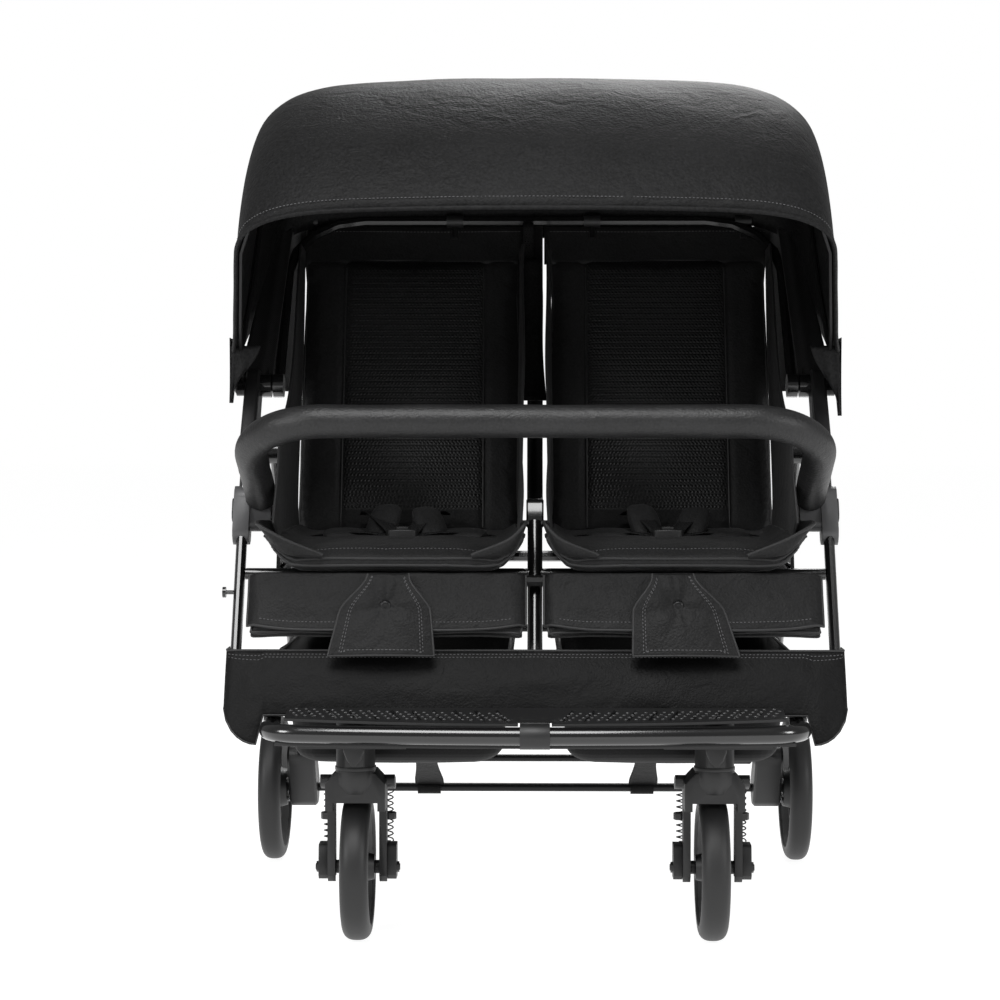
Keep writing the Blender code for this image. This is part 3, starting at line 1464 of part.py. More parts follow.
def calf_rest(tag, side):
    """A calf rest that hangs from the seat frame's front tube and lifts to level."""
    turn = joint("calf_axis_" + tag, (side * (SEAT_INNER + CALF_OUTER) / 2, SEAT_FRONT.y, SEAT_FRONT.z), stroller)
    down = Vector((0, -math.sin(CALF_ANGLE), -math.cos(CALF_ANGLE)))
    out = Vector((0, -math.cos(CALF_ANGLE), math.sin(CALF_ANGLE)))
    across = (0.0, 0.06, 0.5, 0.94, 1.0)
    along = (0.0, 0.3, 1.0)
    grid = [[(u, v) for u in across] for v in along]
    start = 14 * MM

    def place(u, v, lift):
        x = SEAT_INNER - 3 * MM + (CALF_OUTER - SEAT_INNER + 3 * MM) * u
        point = SEAT_FRONT + down * (start + (CALF_LENGTH - start) * v) + out * lift
        return (side * x, point.y, point.z)

    def top(u, v):
        return place(u, v, CALF_T / 2 + 3 * MM * (1 - (2 * u - 1) ** 2))

    def bottom(u, v):
        return place(u, v, -CALF_T / 2)

    pad = cage("calf_rest_" + tag, grid, top, bottom)
    inner = SEAT_INNER + 50 * MM
    outer = seat_outer - 60 * MM
    for end, middle in (("a", inner), ("b", outer)):
        joined(pad, *hinge_loop("calf_loop_%s_%s" % (tag, end), side * middle, SEAT_FRONT, down, 22 * MM))
    bore = rod(
        "calf_bore_" + tag,
        (side * (inner - 30 * MM), SEAT_FRONT.y, SEAT_FRONT.z),
        (side * (outer + 30 * MM), SEAT_FRONT.y, SEAT_FRONT.z),
        BRACE_R + FIT,
        12,
        True,
    )
    bored(pad, hang(bore))
    return hang(paint(pad, "cloth"), turn)


def harness(tag, side):
    """The harness lying on a seat: crotch strap, buckle, two waist pads and two shoulder pads."""
    middle = side * (SEAT_INNER + seat_outer) / 2
    slope = math.atan2(SEAT_REAR.z - SEAT_FRONT.z, SEAT_REAR.y - SEAT_FRONT.y)
    y = SEAT_REAR.y * 0.42
    lift = pad_bottom(y) + (SEAT_PAD_T + 3.4 * MM) / math.cos(slope)
    plane = tilted_plane(Vector((middle, y, lift)), slope)
    buckle = box("harness_" + tag, (-22 * MM, -17 * MM, 0), (22 * MM, 17 * MM, 15 * MM), 4 * MM)
    buckle.matrix_world = plane
    strap = box("crotch_strap_" + tag, (-15 * MM, -74 * MM, 1 * MM), (15 * MM, -10 * MM, 7 * MM), guide=True)
    strap.matrix_world = plane
    joined(buckle, hang(strap))
    for end, offset in (("a", -1), ("b", 1)):
        waist = box(
            "waist_pad_%s_%s" % (tag, end),
            (-38 * MM, -16 * MM, 2 * MM),
            (38 * MM, 16 * MM, 14 * MM),
            4 * MM,
            guide=True,
        )
        waist.matrix_world = plane @ Matrix.Translation((offset * 54 * MM, 6 * MM, 0)) @ Matrix.Rotation(offset * 0.2, 4, "Z")
        shoulder = box(
            "shoulder_pad_%s_%s" % (tag, end),
            (-20 * MM, -10 * MM, 3 * MM),
            (20 * MM, 68 * MM, 17 * MM),
            4 * MM,
            guide=True,
        )
        shoulder.matrix_world = plane @ Matrix.Translation((offset * 28 * MM, 14 * MM, 0)) @ Matrix.Rotation(offset * -0.25, 4, "Z")
        joined(buckle, hang(waist), hang(shoulder))
    return hang(paint(buckle, "cloth"))


# Canopy


def canopy_profile():
    """The canopy's section from the left hub over the top to the right hub, as (x, radius)."""
    side_top = CANOPY_R - CANOPY_CORNER_R
    half = [(0, CANOPY_R), (0.38 * CANOPY_HALF, CANOPY_R - 2 * MM)]
    centre_x = CANOPY_HALF - CANOPY_CORNER_R
    for i in range(4):
        angle = math.radians(90 - 30 * i)
        x = centre_x + CANOPY_CORNER_R * math.cos(angle)
        half.append((x, side_top + (CANOPY_CORNER_R - 8 * MM) * math.sin(angle)))
    half.append((CANOPY_HALF + (CANOPY_HUB_HALF - CANOPY_HALF) * 0.55, 0.45 * side_top))
    half.append((CANOPY_HUB_HALF, 0.12 * side_top))
    return [(-x, r) for x, r in half[:0:-1]] + half


def canopy_scale(angle):
    """The cover keeps its radius over the bows and draws in to the rear bow behind them."""
    rear = BACK_TOP - FOLD_PIVOT
    rear_angle = math.atan2(rear.z, rear.y)
    reach = (rear.length + TUBE_W / 2 + 5 * MM) / (CANOPY_R - 8 * MM)
    share = (CANOPY_MID - angle) / (CANOPY_MID - rear_angle)
    share = min(max(share, 0), 1)
    return 1 - (1 - reach) * share**1.6


def canopy_panel(name, start, end, steps, body):
    """One panel of the cover, a sheet turned about the fold pivot and given its thickness."""
    bm = bmesh.new()
    profile = canopy_profile()
    rows = []
    for i in range(steps + 1):
        angle = start + (end - start) * i / steps
        scale = canopy_scale(angle)
        row = []
        for x, r in profile:
            reach = r * (scale if r > 0.3 * CANOPY_R else 1)
            y = FOLD_PIVOT.y + reach * math.cos(angle)
            z = FOLD_PIVOT.z + reach * math.sin(angle)
            row.append(bm.verts.new((x, y, z)))
        rows.append(row)
    for low, high in zip(rows, rows[1:]):
        for a, b, c, d in zip(low, low[1:], high[1:], high):
            bm.faces.new((a, b, c, d))
    bmesh.ops.recalc_face_normals(bm, faces=bm.faces)
    panel = from_bmesh(name, bm)
    thick = panel.modifiers.new("cloth", "SOLIDIFY")
    thick.thickness = CANOPY_CLOTH
    thick.offset = -1
    thick.use_even_offset = True
    hang(paint(panel, "canopy_cloth"), body)


def canopy_bow(name, lane, angle, body):
    """A wire bow with a flat eye at each end on the pivot bolts."""
    inside = CANOPY_CLOTH + BOW_R + 1 * MM
    half = [(x, r) for x, r in canopy_profile() if x >= 0]
    path = [(0, half[0][1] - inside)]
    for before, point, after in zip(half, half[1:], half[2:]):
        along = (Vector(after) - Vector(before)).normalized()
        path.append((point[0] + along.y * inside, point[1] - along.x * inside))
    path += [(lane, 34 * MM), (lane, 8 * MM)]
    path = [(-x, r, 0) for x, r in path[:0:-1]] + [(x, r, 0) for x, r in path]
    bow = wire(name, path, BOW_R, 1)
    plane = tilted_plane(FOLD_PIVOT, angle)
    bow.matrix_world = plane
    bow = solid(bow)
    for tag, side in SIDES.items():
        joined(bow, eye(name + "_eye_" + tag, side * lane, FOLD_PIVOT, 13 * MM, BOW_R))
    for tag, side in SIDES.items():
        bored(bow, eye_bore(name + "_bore_" + tag, side * lane, FOLD_PIVOT, 2 * BOW_R))
    hang(paint(bow, "black_steel"), body)


def canopy():
    rear = BACK_TOP - FOLD_PIVOT
    rear_angle = math.atan2(rear.z, rear.y)
    fold = joint("canopy_fold_axis", FOLD_PIVOT, stroller)
    front = joint("canopy_front_axis", FOLD_PIVOT, fold)
    gap = math.radians(0.4)
    canopy_bow("canopy_bow_mid", bow_mid_lane, CANOPY_MID, fold)
    canopy_bow("canopy_bow_front", bow_front_lane, CANOPY_FRONT - math.radians(1.5), front)
    canopy_panel("canopy_front", CANOPY_MID + gap, CANOPY_FRONT, 6, front)
    canopy_panel("canopy_rear", rear_angle, CANOPY_MID - gap, 4, fold)


# Basket


def basket():
    """The sewn basket: an apron wrapped round the front legs and two open wells behind it."""
    side_x = seat_outer - 4 * MM
    front = leg_y(BASKET_TOP) - leg_half - FIT - BASKET_WALL / 2
    wells = [basket_well("basket_well_" + tag, side, side_x, front) for tag, side in SIDES.items()]
    apron = basket_apron("basket")
    rim = rod(
        "basket_rim",
        (-side_x + 1 * MM, BASKET_BACK - 1 * MM, BASKET_TOP - 6 * MM),
        (side_x - 1 * MM, BASKET_BACK - 1 * MM, BASKET_TOP - 6 * MM),
        5 * MM,
        10,
        True,
    )
    joined(apron, *[hang(well) for well in wells], hang(rim))
    return hang(paint(apron, "cloth"))


def basket_well(name, side, side_x, front):
    """One open well with drawn-in, rounded walls."""
    inner = side * BASKET_GAP
    outer = side * side_x
    low_x, high_x = sorted((inner, outer))
    bm = bmesh.new()
    bmesh.ops.create_cube(bm, size=1)
    bmesh.ops.scale(bm, vec=(high_x - low_x, BASKET_BACK - front, BASKET_TOP - BASKET_LOW), verts=bm.verts)
    middle = ((low_x + high_x) / 2, (front + BASKET_BACK) / 2, (BASKET_TOP + BASKET_LOW) / 2 - 1 * MM)
    bmesh.ops.translate(bm, vec=middle, verts=bm.verts)
    for vert in bm.verts:
        if vert.co.z < middle[2]:
            vert.co.y += BASKET_DRAW_FRONT if vert.co.y < middle[1] else -BASKET_DRAW_BACK
            vert.co.x += (middle[0] - vert.co.x) * 0.08
    lid = max(bm.faces, key=lambda face: face.calc_center_median().z)
    bmesh.ops.delete(bm, geom=[lid], context="FACES_ONLY")
    edges = [edge for edge in bm.edges if not edge.is_boundary]
    bmesh.ops.bevel(bm, geom=edges, offset=26 * MM, segments=2, profile=0.5, affect="EDGES", material=-1)
    bmesh.ops.recalc_face_normals(bm, faces=bm.faces)
    well = from_bmesh(name, bm, guide=True)
    wall = well.modifiers.new("cloth", "SOLIDIFY")
    wall.thickness = BASKET_WALL
    wall.offset = -1
    return well


def apron_low(x):
    """The apron's lower edge: straight behind the footrest, with a pouch round each leg."""
    start = FOOT_HALF + FOOT_TUBE_R + 4 * MM
    if abs(x) < start:
        return APRON_LOW
    share = min((abs(x) - start) / (APRON_HALF - start), 1)
    return POUCH_LOW + (BEAM_Z - POUCH_LOW) * (1 - math.sqrt(1 - share**2))


def basket_apron(name):
    """The front panel, slanted with the legs, which turns back round each leg."""
    start = FOOT_HALF + FOOT_TUBE_R + 4 * MM
    columns = [(0, 0), (0.33 * start, 0), (0.66 * start, 0), (start - 3 * MM, 0), (start, 0)]
    columns += [(start + (APRON_HALF - start) * share, 0) for share in (0.35, 0.82)]
    columns += [(APRON_HALF - 2 * MM, 4 * MM), (APRON_HALF, 11 * MM), (APRON_HALF, APRON_WRAP)]
    columns = [(-x, back) for x, back in columns[:0:-1]] + columns
    front = leg_half + FIT + BASKET_WALL
    levels = (0.0, 0.35, 0.7, 1.0)
    bm = bmesh.new()
    rows = []
    for share in levels:
        row = []
        for x, back in columns:
            z = BASKET_TOP + (apron_low(x) - BASKET_TOP) * share
            swell = 4 * MM * math.sin(math.pi * share) if back == 0 else 0
            row.append(bm.verts.new((x, leg_y(z) - front - swell + back, z)))
        rows.append(row)
    for high, low in zip(rows, rows[1:]):
        for a, b, c, d in zip(high, high[1:], low[1:], low):
            bm.faces.new((a, b, c, d))
    bmesh.ops.recalc_face_normals(bm, faces=bm.faces)
    if sum((face.normal.y for face in bm.faces)) > 0:
        bmesh.ops.reverse_faces(bm, faces=bm.faces)
    apron = from_bmesh(name, bm)
    wall = apron.modifiers.new("cloth", "SOLIDIFY")
    wall.thickness = BASKET_WALL
    wall.offset = -1
    wall.use_even_offset = True
    return apron


# Assembly

crossbeam()
for tag, side in SIDES.items():
    front_leg(tag, side)
    knuckle(tag, side)
    pivot_bolt(tag, side)
    bumper_socket(tag, side)
    fork(tag, side)
    axle_carrier(tag, side)
    springs(tag, side)
    lock_tab(tag, side)
    front_wheel(tag, side)

footrest_tube()
footrest_plate()
footrest_tray()
centre_leg()
seat_frame()
rear_bow()
handle()
bumper()

joint("rear_fold_axis", LEG_PIVOT, stroller)
rear_axle_rod()
brake_bar()
for tag, side in SIDES.items():
    rear_leg(tag, side)
    foot_bracket(tag, side)
    rear_wheel(tag, side)
    seat_pad(tag, side)
    backrest(tag, side)
    calf_rest(tag, side)
    harness(tag, side)

canopy()
basket()
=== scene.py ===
"""A side-by-side double stroller: black tubes, moulded parts, leather-look covers and woven cloth."""

from itertools import product
from math import atan, atan2, copysign, cos, degrees, exp, hypot, pi, radians, sin, sqrt, tan

import bmesh
import bpy
from mathutils import Matrix, Vector, noise


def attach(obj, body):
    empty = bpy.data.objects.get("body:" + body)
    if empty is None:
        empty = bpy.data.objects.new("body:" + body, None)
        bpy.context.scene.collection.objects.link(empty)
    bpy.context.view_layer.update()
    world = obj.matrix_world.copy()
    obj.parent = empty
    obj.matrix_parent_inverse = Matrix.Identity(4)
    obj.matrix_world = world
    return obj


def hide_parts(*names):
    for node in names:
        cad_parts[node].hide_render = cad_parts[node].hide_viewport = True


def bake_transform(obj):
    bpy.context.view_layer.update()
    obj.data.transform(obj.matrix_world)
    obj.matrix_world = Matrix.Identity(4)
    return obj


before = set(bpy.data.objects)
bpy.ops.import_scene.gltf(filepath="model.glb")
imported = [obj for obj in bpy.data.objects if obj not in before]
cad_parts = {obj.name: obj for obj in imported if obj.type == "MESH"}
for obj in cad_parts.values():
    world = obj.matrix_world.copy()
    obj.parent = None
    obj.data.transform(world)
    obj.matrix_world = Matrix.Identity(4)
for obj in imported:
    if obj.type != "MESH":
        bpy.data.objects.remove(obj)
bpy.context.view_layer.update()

# The camera stands where the photographer stood: level with the bumper bar's padding,
# about three metres in front, and turned a little left and down.
FRONT_AXLE_Y = -0.2465
camera_ahead, camera_height = 2.903, 0.616
photo_pixels = 1000
focal_pixels = 2465
level_point = (535, 419)
camera_data = bpy.data.cameras.new("photo_camera")
camera_data.sensor_width = 36
camera_data.lens = 36 * focal_pixels / photo_pixels
camera = bpy.data.objects.new("photo_camera", camera_data)
bpy.context.scene.collection.objects.link(camera)
camera.location = (0, FRONT_AXLE_Y - camera_ahead, camera_height)
tilt = atan((photo_pixels / 2 - level_point[1]) / focal_pixels)
turn = atan((level_point[0] - photo_pixels / 2) / focal_pixels)
camera.rotation_euler = (pi / 2 - tilt, 0, turn)
bpy.context.scene.camera = camera
bpy.context.scene.view_settings.view_transform = "Standard"

# The studio is a white floor and wall, dimmed in what the black parts reflect, with soft
# boxes above, behind and to each side that give the tubes their long highlights.
def fed(tree, node, feeds):
    """Give a node's inputs their values, or the sockets that lead into them."""
    for label, feed in feeds.items():
        if isinstance(feed, bpy.types.NodeSocket):
            tree.links.new(feed, node.inputs[label])
        else:
            node.inputs[label].default_value = feed
    return node.outputs


world = bpy.data.worlds.new("studio")
bpy.context.scene.world = world
world.use_nodes = True
sky = world.node_tree
seen = sky.nodes.new("ShaderNodeLightPath").outputs["Is Camera Ray"]
level = fed(sky, sky.nodes.new("ShaderNodeMapRange"), {"To Min": 0.22, "To Max": 1.0, "Value": seen})
fed(sky, sky.nodes["Background"], {"Color": (1, 1, 1, 1), "Strength": level["Result"]})

bm = bmesh.new()
bmesh.ops.create_grid(bm, x_segments=1, y_segments=1, size=30)
floor_mesh = bpy.data.meshes.new("studio_floor")
bm.to_mesh(floor_mesh)
bm.free()
floor = bpy.data.objects.new("studio_floor", floor_mesh)
bpy.context.scene.collection.objects.link(floor)
floor_paint = bpy.data.materials.new("floor_white")
floor_paint.use_nodes = True
fed(floor_paint.node_tree, floor_paint.node_tree.nodes["Principled BSDF"], {
    "Base Color": (0.3, 0.3, 0.3, 1), "Roughness": 0.9, "Specular IOR Level": 0.0,
    "Emission Color": (1, 1, 1, 1), "Emission Strength": 0.93,
})
floor_mesh.materials.append(floor_paint)


def soft_box(name, place, aim, size, power):
    """One studio light, a square panel turned to its aim."""
    lamp = bpy.data.lights.new(name, "AREA")
    lamp.size = size
    lamp.energy = power
    panel = bpy.data.objects.new(name, lamp)
    bpy.context.scene.collection.objects.link(panel)
    panel.location = place
    panel.rotation_euler = (Vector(aim) - Vector(place)).to_track_quat("-Z", "Y").to_euler()


soft_box("box_above", (-0.3, -1.9, 3.0), (0, -0.1, 0.6), 1.6, 80)
soft_box("box_left", (-2.4, -2.0, 1.6), (0, -0.2, 0.6), 0.9, 36)
soft_box("box_right", (2.4, -1.8, 1.4), (0, -0.2, 0.5), 0.8, 26)
soft_box("box_behind", (0.4, 2.4, 2.6), (0, 0.1, 0.6), 1.4, 50)


# Tubes of the frame: steel drawn oval or round, bent, and stove-enamelled gloss black.
# The enamel has a faint orange peel and dulls a little where it is handled.
def new_effect(name, takes, gives):
    """An empty node group with its sockets named, and the nodes at its two ends."""
    group = bpy.data.node_groups.new(name, "ShaderNodeTree")
    for label in takes:
        kind = "NodeSocketVector" if label == "Place" else "NodeSocketFloat"
        group.interface.new_socket(label, in_out="INPUT", socket_type=kind)
    for label in gives:
        group.interface.new_socket(label, in_out="OUTPUT", socket_type="NodeSocketFloat")
    return group, group.nodes.new("NodeGroupInput").outputs, group.nodes.new("NodeGroupOutput").inputs


def reckoned(tree, operation, *feeds, kind="ShaderNodeMath"):
    """The result of one sum on numbers or on what other nodes give."""
    sum_node = tree.nodes.new(kind)
    sum_node.operation = operation
    return fed(tree, sum_node, dict(enumerate(feeds)))[0]


def grain_effect():
    """A node group: fine relief, large uneven patches and creases, in bumps per metre."""
    group, takes, gives = new_effect("grain", ("Place", "Fine", "Broad"), ("Relief", "Patches", "Creases"))
    sizes = (takes["Fine"], takes["Broad"], reckoned(group, "MULTIPLY", takes["Fine"], 0.1))
    for size, label in zip(sizes, ("Relief", "Patches", "Creases")):
        twist = 1.2 if label == "Creases" else 0.0
        feeds = {"Detail": 3, "Distortion": twist, "Vector": takes["Place"], "Scale": size}
        bumps = fed(group, group.nodes.new("ShaderNodeTexNoise"), feeds)
        group.links.new(bumps["Fac"], gives[label])
    return group


def weave_effect():
    """A node group: crossing threads that show on a surface whichever way it faces."""
    group, takes, gives = new_effect("weave", ("Place", "Threads"), ("Relief",))
    turns = reckoned(group, "MULTIPLY", takes["Threads"], pi)
    scaled = reckoned(group, "SCALE", takes["Place"], kind="ShaderNodeVectorMath")
    fed(group, scaled.node, {"Scale": turns})
    wave = reckoned(group, "SINE", scaled, kind="ShaderNodeVectorMath")
    split = fed(group, group.nodes.new("ShaderNodeSeparateXYZ"), {0: wave})
    total = 0
    for one, other in (("X", "Z"), ("X", "Y"), ("Y", "Z")):
        total = reckoned(group, "MULTIPLY_ADD", split[one], split[other], total)
    group.links.new(total, gives["Relief"])
    return group


grain = grain_effect()
weave = weave_effect()


def finish(
    name, dark, light, rough, relief, fine=900, broad=8, metal=0.0, coat=0.0, sheen=0.0, threads=0,
    shine=0.5, crease=0.0,
):
    """A material whose colour and gloss drift between two values, over a fine grain or a weave."""
    material = bpy.data.materials.new(name)
    material.use_nodes = True
    tree = material.node_tree
    place = tree.nodes.new("ShaderNodeTexCoord").outputs["Object"]

    def effect(group, **values):
        placed = tree.nodes.new("ShaderNodeGroup")
        placed.node_tree = group
        return fed(tree, placed, {"Place": place, **values})

    skin = effect(grain, Fine=fine, Broad=broad)
    speckle = reckoned(tree, "MULTIPLY_ADD", skin["Relief"], 1.6, -0.8)
    drift = reckoned(tree, "ADD", speckle, skin["Patches"])
    drift.node.use_clamp = True
    tint = tree.nodes.new("ShaderNodeMix")
    tint.data_type = "RGBA"
    shades = {"A": (dark, dark, dark * 1.03, 1), "B": (light, light, light * 1.03, 1), "Factor": drift}
    gloss = {"To Min": rough[0], "To Max": rough[1], "Value": skin["Patches"]}
    height = skin["Relief"]
    if threads:
        height = reckoned(tree, "ADD", effect(weave, Threads=threads)["Relief"], height)
    if crease:
        height = reckoned(tree, "MULTIPLY_ADD", skin["Creases"], crease, height)
    bumps = {"Strength": relief[0], "Distance": relief[1], "Height": height}
    fed(tree, tree.nodes["Principled BSDF"], {
        "Base Color": fed(tree, tint, shades)["Result"],
        "Roughness": fed(tree, tree.nodes.new("ShaderNodeMapRange"), gloss)["Result"],
        "Normal": fed(tree, tree.nodes.new("ShaderNodeBump"), bumps)["Normal"],
        "Metallic": metal, "Coat Weight": coat, "Coat Roughness": 0.1, "Sheen Weight": sheen,
        "Sheen Roughness": 0.5, "Specular IOR Level": shine,
    })
    return material


enamel = finish("black_enamel", 0.004, 0.008, (0.15, 0.26), (0.1, 0.0002), coat=0.6)


def dress(node_name, material, round_edge=0.0):
    """Give a CAD node its finish, with its corners eased and its curves shaded smooth."""
    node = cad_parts[node_name]
    for held in node.material_slots:
        held.material = material
    node.data.shade_smooth()
    weld = node.modifiers.new("weld", "WELD")
    weld.merge_threshold = 0.00002
    if round_edge:
        ease = node.modifiers.new("ease", "BEVEL")
        ease.width = round_edge
        ease.segments = 2
        ease.limit_method = "ANGLE"
        ease.angle_limit = radians(38)
    split = node.modifiers.new("split", "EDGE_SPLIT")
    split.split_angle = radians(38)


for tube in (
    "front_leg_l", "front_leg_r", "rear_leg_l", "rear_leg_r", "handle_tube", "rear_bow", "seat_frame",
    "centre_leg",
):
    dress(tube, enamel)

# Moulded parts: knuckles, crossbeam, brackets, forks and casters are glass-filled nylon,
# fine-grained from the mould. The bumper sockets are a lighter satin grey.
nylon = finish("moulded_nylon", 0.008, 0.014, (0.38, 0.52), (0.25, 0.0004), fine=1500)
for moulded in (
    "knuckle_l", "knuckle_r", "crossbeam", "foot_bracket_l", "foot_bracket_r", "footrest_tray",
    "axle_carrier_l", "axle_carrier_r", "fork_l", "fork_r", "bumper_button_l", "bumper_button_r",
    "lock_tab_l", "lock_tab_r", "fold_button",
):
    dress(moulded, nylon, 0.0008)
sleeve_grey = finish("socket_grey", 0.05, 0.08, (0.3, 0.42), (0.2, 0.0003), fine=1200)
for sleeve in ("bumper_socket_l", "bumper_socket_r"):
    dress(sleeve, sleeve_grey, 0.0008)

# Rods, bolts, coil springs and the canopy's bows are blackened steel, drawn or wound from
# wire. The brake pins are turned steel, zinc plated.
blackened = finish("blackened_steel", 0.01, 0.02, (0.28, 0.42), (0.1, 0.0002), fine=600, metal=0.6)
for rod_part in (
    "rear_axle", "brake_bar", "pivot_bolt_l", "pivot_bolt_r", "canopy_bow_mid", "canopy_bow_front",
    "spring_l_a", "spring_l_b", "spring_r_a", "spring_r_b",
):
    dress(rod_part, blackened)
zinc = finish("zinc_plate", 0.42, 0.55, (0.25, 0.4), (0.1, 0.0002), fine=700, metal=1.0)
for pin in ("brake_pin_l", "brake_pin_r"):
    dress(pin, zinc)


# Wheels: foamed rubber tyres pressed on moulded hubs, with a rounded tread.
# The front ones are casters; the rear ones are larger and narrower.
def at(x, y, z):
    """A place in millimetres: right of the middle, behind the front axle, above the floor."""
    return Vector((x / 1000, y / 1000 + FRONT_AXLE_Y, z / 1000))


def new_piece(name, bm, material, body, angle=40):
    """Make a bmesh into a piece of the stroller, riding on one of its bodies if it is named."""
    mesh = bpy.data.meshes.new(name)
    bm.to_mesh(mesh)
    bm.free()
    mesh.materials.append(material)
    mesh.shade_smooth()
    if angle:
        mesh.set_sharp_from_angle(angle=radians(angle))
    made = bpy.data.objects.new(name, mesh)
    bpy.context.scene.collection.objects.link(made)
    if body:
        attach(made, body)
    return made


def spun(outline, centre, axis, steps, closed=True):
    """Spin an outline, in millimetres from its centre, once round an axis through it."""
    bm = bmesh.new()
    ring = [bm.verts.new(centre + Vector(point) / 1000) for point in outline]
    following = ring[1:] + (ring[:1] if closed else [])
    edges = [bm.edges.new(pair) for pair in zip(ring, following)]
    bmesh.ops.spin(
        bm, geom=ring + edges, cent=centre, axis=axis, angle=2 * pi, steps=steps, use_merge=True
    )
    bmesh.ops.remove_doubles(bm, verts=bm.verts, dist=0.00001)
    bmesh.ops.recalc_face_normals(bm, faces=bm.faces)
    return bm


def tyre_section(radius, half):
    """A tyre's section: the bead at the rim, the shoulders and a rounded tread."""
    seat = radius - 20
    right = [(0.78 * half, 0, seat), (0.94 * half, 0, seat + 2.5)]
    for step in range(1, 12):
        angle = radians(step * 90 / 12)
        across = 0.97 * half * cos(angle) ** 0.75
        right.append((across, 0, seat + 5 + 15 * sin(angle) ** 0.9))
    return right + [(0, 0, radius)] + [(-x, 0, r) for x, _, r in right[::-1]]


SIDES = (("l", -1), ("r", 1))
REAR_AXLE_Y, REAR_AXLE_Z = 540, 100
rubber = finish("tyre_rubber", 0.008, 0.014, (0.42, 0.6), (0.3, 0.0005), fine=1300, broad=14)
for tag, side in SIDES:
    for end, radius, half, x, y in (
        ("front", 86, 17.5, 209.5, 0), ("rear", REAR_AXLE_Z, 16, 364, REAR_AXLE_Y),
    ):
        where = (end, tag)
        tread = spun(tyre_section(radius, half), at(side * x, y, radius), (1, 0, 0), 96)
        tyre = new_piece("tyre_%s_%s" % where, tread, rubber, "%s_wheel_%s" % where)
        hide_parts("%s_tyre_%s" % where)
        dress("%s_hub_%s" % where, nylon, 0.0006)


# Canopy: one woven polyester cover in two panels, stretched over two wire bows and drawn in
# to the rear bow, with a gathered and piped hem round its front edge.
def smooth(points, steps):
    """A smooth line through the given points, with so many steps from each to the next."""
    points = [Vector(point) for point in points]
    ends = [2 * points[0] - points[1]] + points + [2 * points[-1] - points[-2]]
    line = []
    for a, b, c, d in zip(ends, ends[1:], ends[2:], ends[3:]):
        square, cube = 2 * a - 5 * b + 4 * c - d, 3 * b - a - 3 * c + d
        for step in range(steps):
            t = step / steps
            line.append(0.5 * (2 * b + (c - a) * t + square * t**2 + cube * t**3))
    return line + [points[-1]]


def tubing(name, points, radius, material, body, sides=3):
    """A round cord, pipe or tube of one radius along a line of points."""
    path = bpy.data.curves.new(name, "CURVE")
    path.dimensions = "3D"
    spline = path.splines.new("POLY")
    spline.points.add(len(points) - 1)
    for knot, point in zip(spline.points, points):
        knot.co = (*point, 1)
    path.bevel_depth = radius / 1000
    path.bevel_resolution = sides
    path.use_fill_caps = True
    draft = bpy.data.objects.new(name + "_path", path)
    bm = bmesh.new()
    bm.from_mesh(draft.to_mesh())
    draft.to_mesh_clear()
    bpy.data.objects.remove(draft)
    bpy.data.curves.remove(path)
    bmesh.ops.recalc_face_normals(bm, faces=bm.faces)
    return new_piece(name, bm, material, body, 50)


def stitching(name, points, body, pitch=4.5, length=3.4):
    """A row of stitches: short raised threads, 1 mm thick, that follow a line of points."""
    bm = bmesh.new()
    travelled, due = 0.0, 0.0
    for start, end in zip(points, points[1:]):
        step = (end - start).length * 1000
        while due <= travelled + step and step > 0:
            place = start.lerp(end, (due - travelled) / step)
            aim = (end - start).to_track_quat("X", "Z").to_matrix().to_4x4()
            scale = Matrix.Diagonal((length / 2000, 0.0005, 0.0005, 1))
            bmesh.ops.create_uvsphere(
                bm, u_segments=6, v_segments=4, radius=1, matrix=Matrix.Translation(place) @ aim @ scale
            )
            due += pitch
        travelled += step
    return new_piece(name, bm, canopy_thread, body, 0)


def walled(sheet, thick, offset=0):
    """Give a sheet of cloth its thickness in millimetres."""
    wall = sheet.modifiers.new("cloth", "SOLIDIFY")
    wall.thickness = thick / 1000
    wall.offset = offset
    return sheet


canopy_cloth = finish(
    "canopy_polyester", 0.002, 0.014, (0.5, 0.7), (0.8, 0.0012), fine=300, broad=5, sheen=0.01, shine=0.14,
    crease=2.2,
)
canopy_thread = finish("canopy_thread", 0.06, 0.12, (0.45, 0.55), (0.2, 0.0002), fine=2000, shine=0.4)
HUB = at(0, 200, 658)
half_section = smooth(
    [(0, 386), (75, 385.4), (150, 383.4), (215, 380.4), (262, 374.5), (300, 362), (328, 340),
     (341.5, 313), (347, 280), (353, 225), (360, 165), (366, 112), (374, 62), (378, 34.5)],
    5,
)
section = [Vector((-p.x, p.y)) for p in half_section[:0:-1]] + half_section
MID_BOW, FRONT_EDGE, REAR_EDGE = 78.0, 149.5, 47.7
FRONT_SAG, REAR_SAG, GATHER, GATHER_PITCH, DRAWN_IN = 6, 4, 2.1, 17, 0.2095


def canopy_point(x, r, angle, lift=0.0):
    """A place on the canopy, from its distance to the hub's axis and its angle above the back."""
    turn = radians(angle)
    reach = (r + lift) / 1000
    return HUB + Vector((x / 1000, reach * cos(turn), reach * sin(turn)))


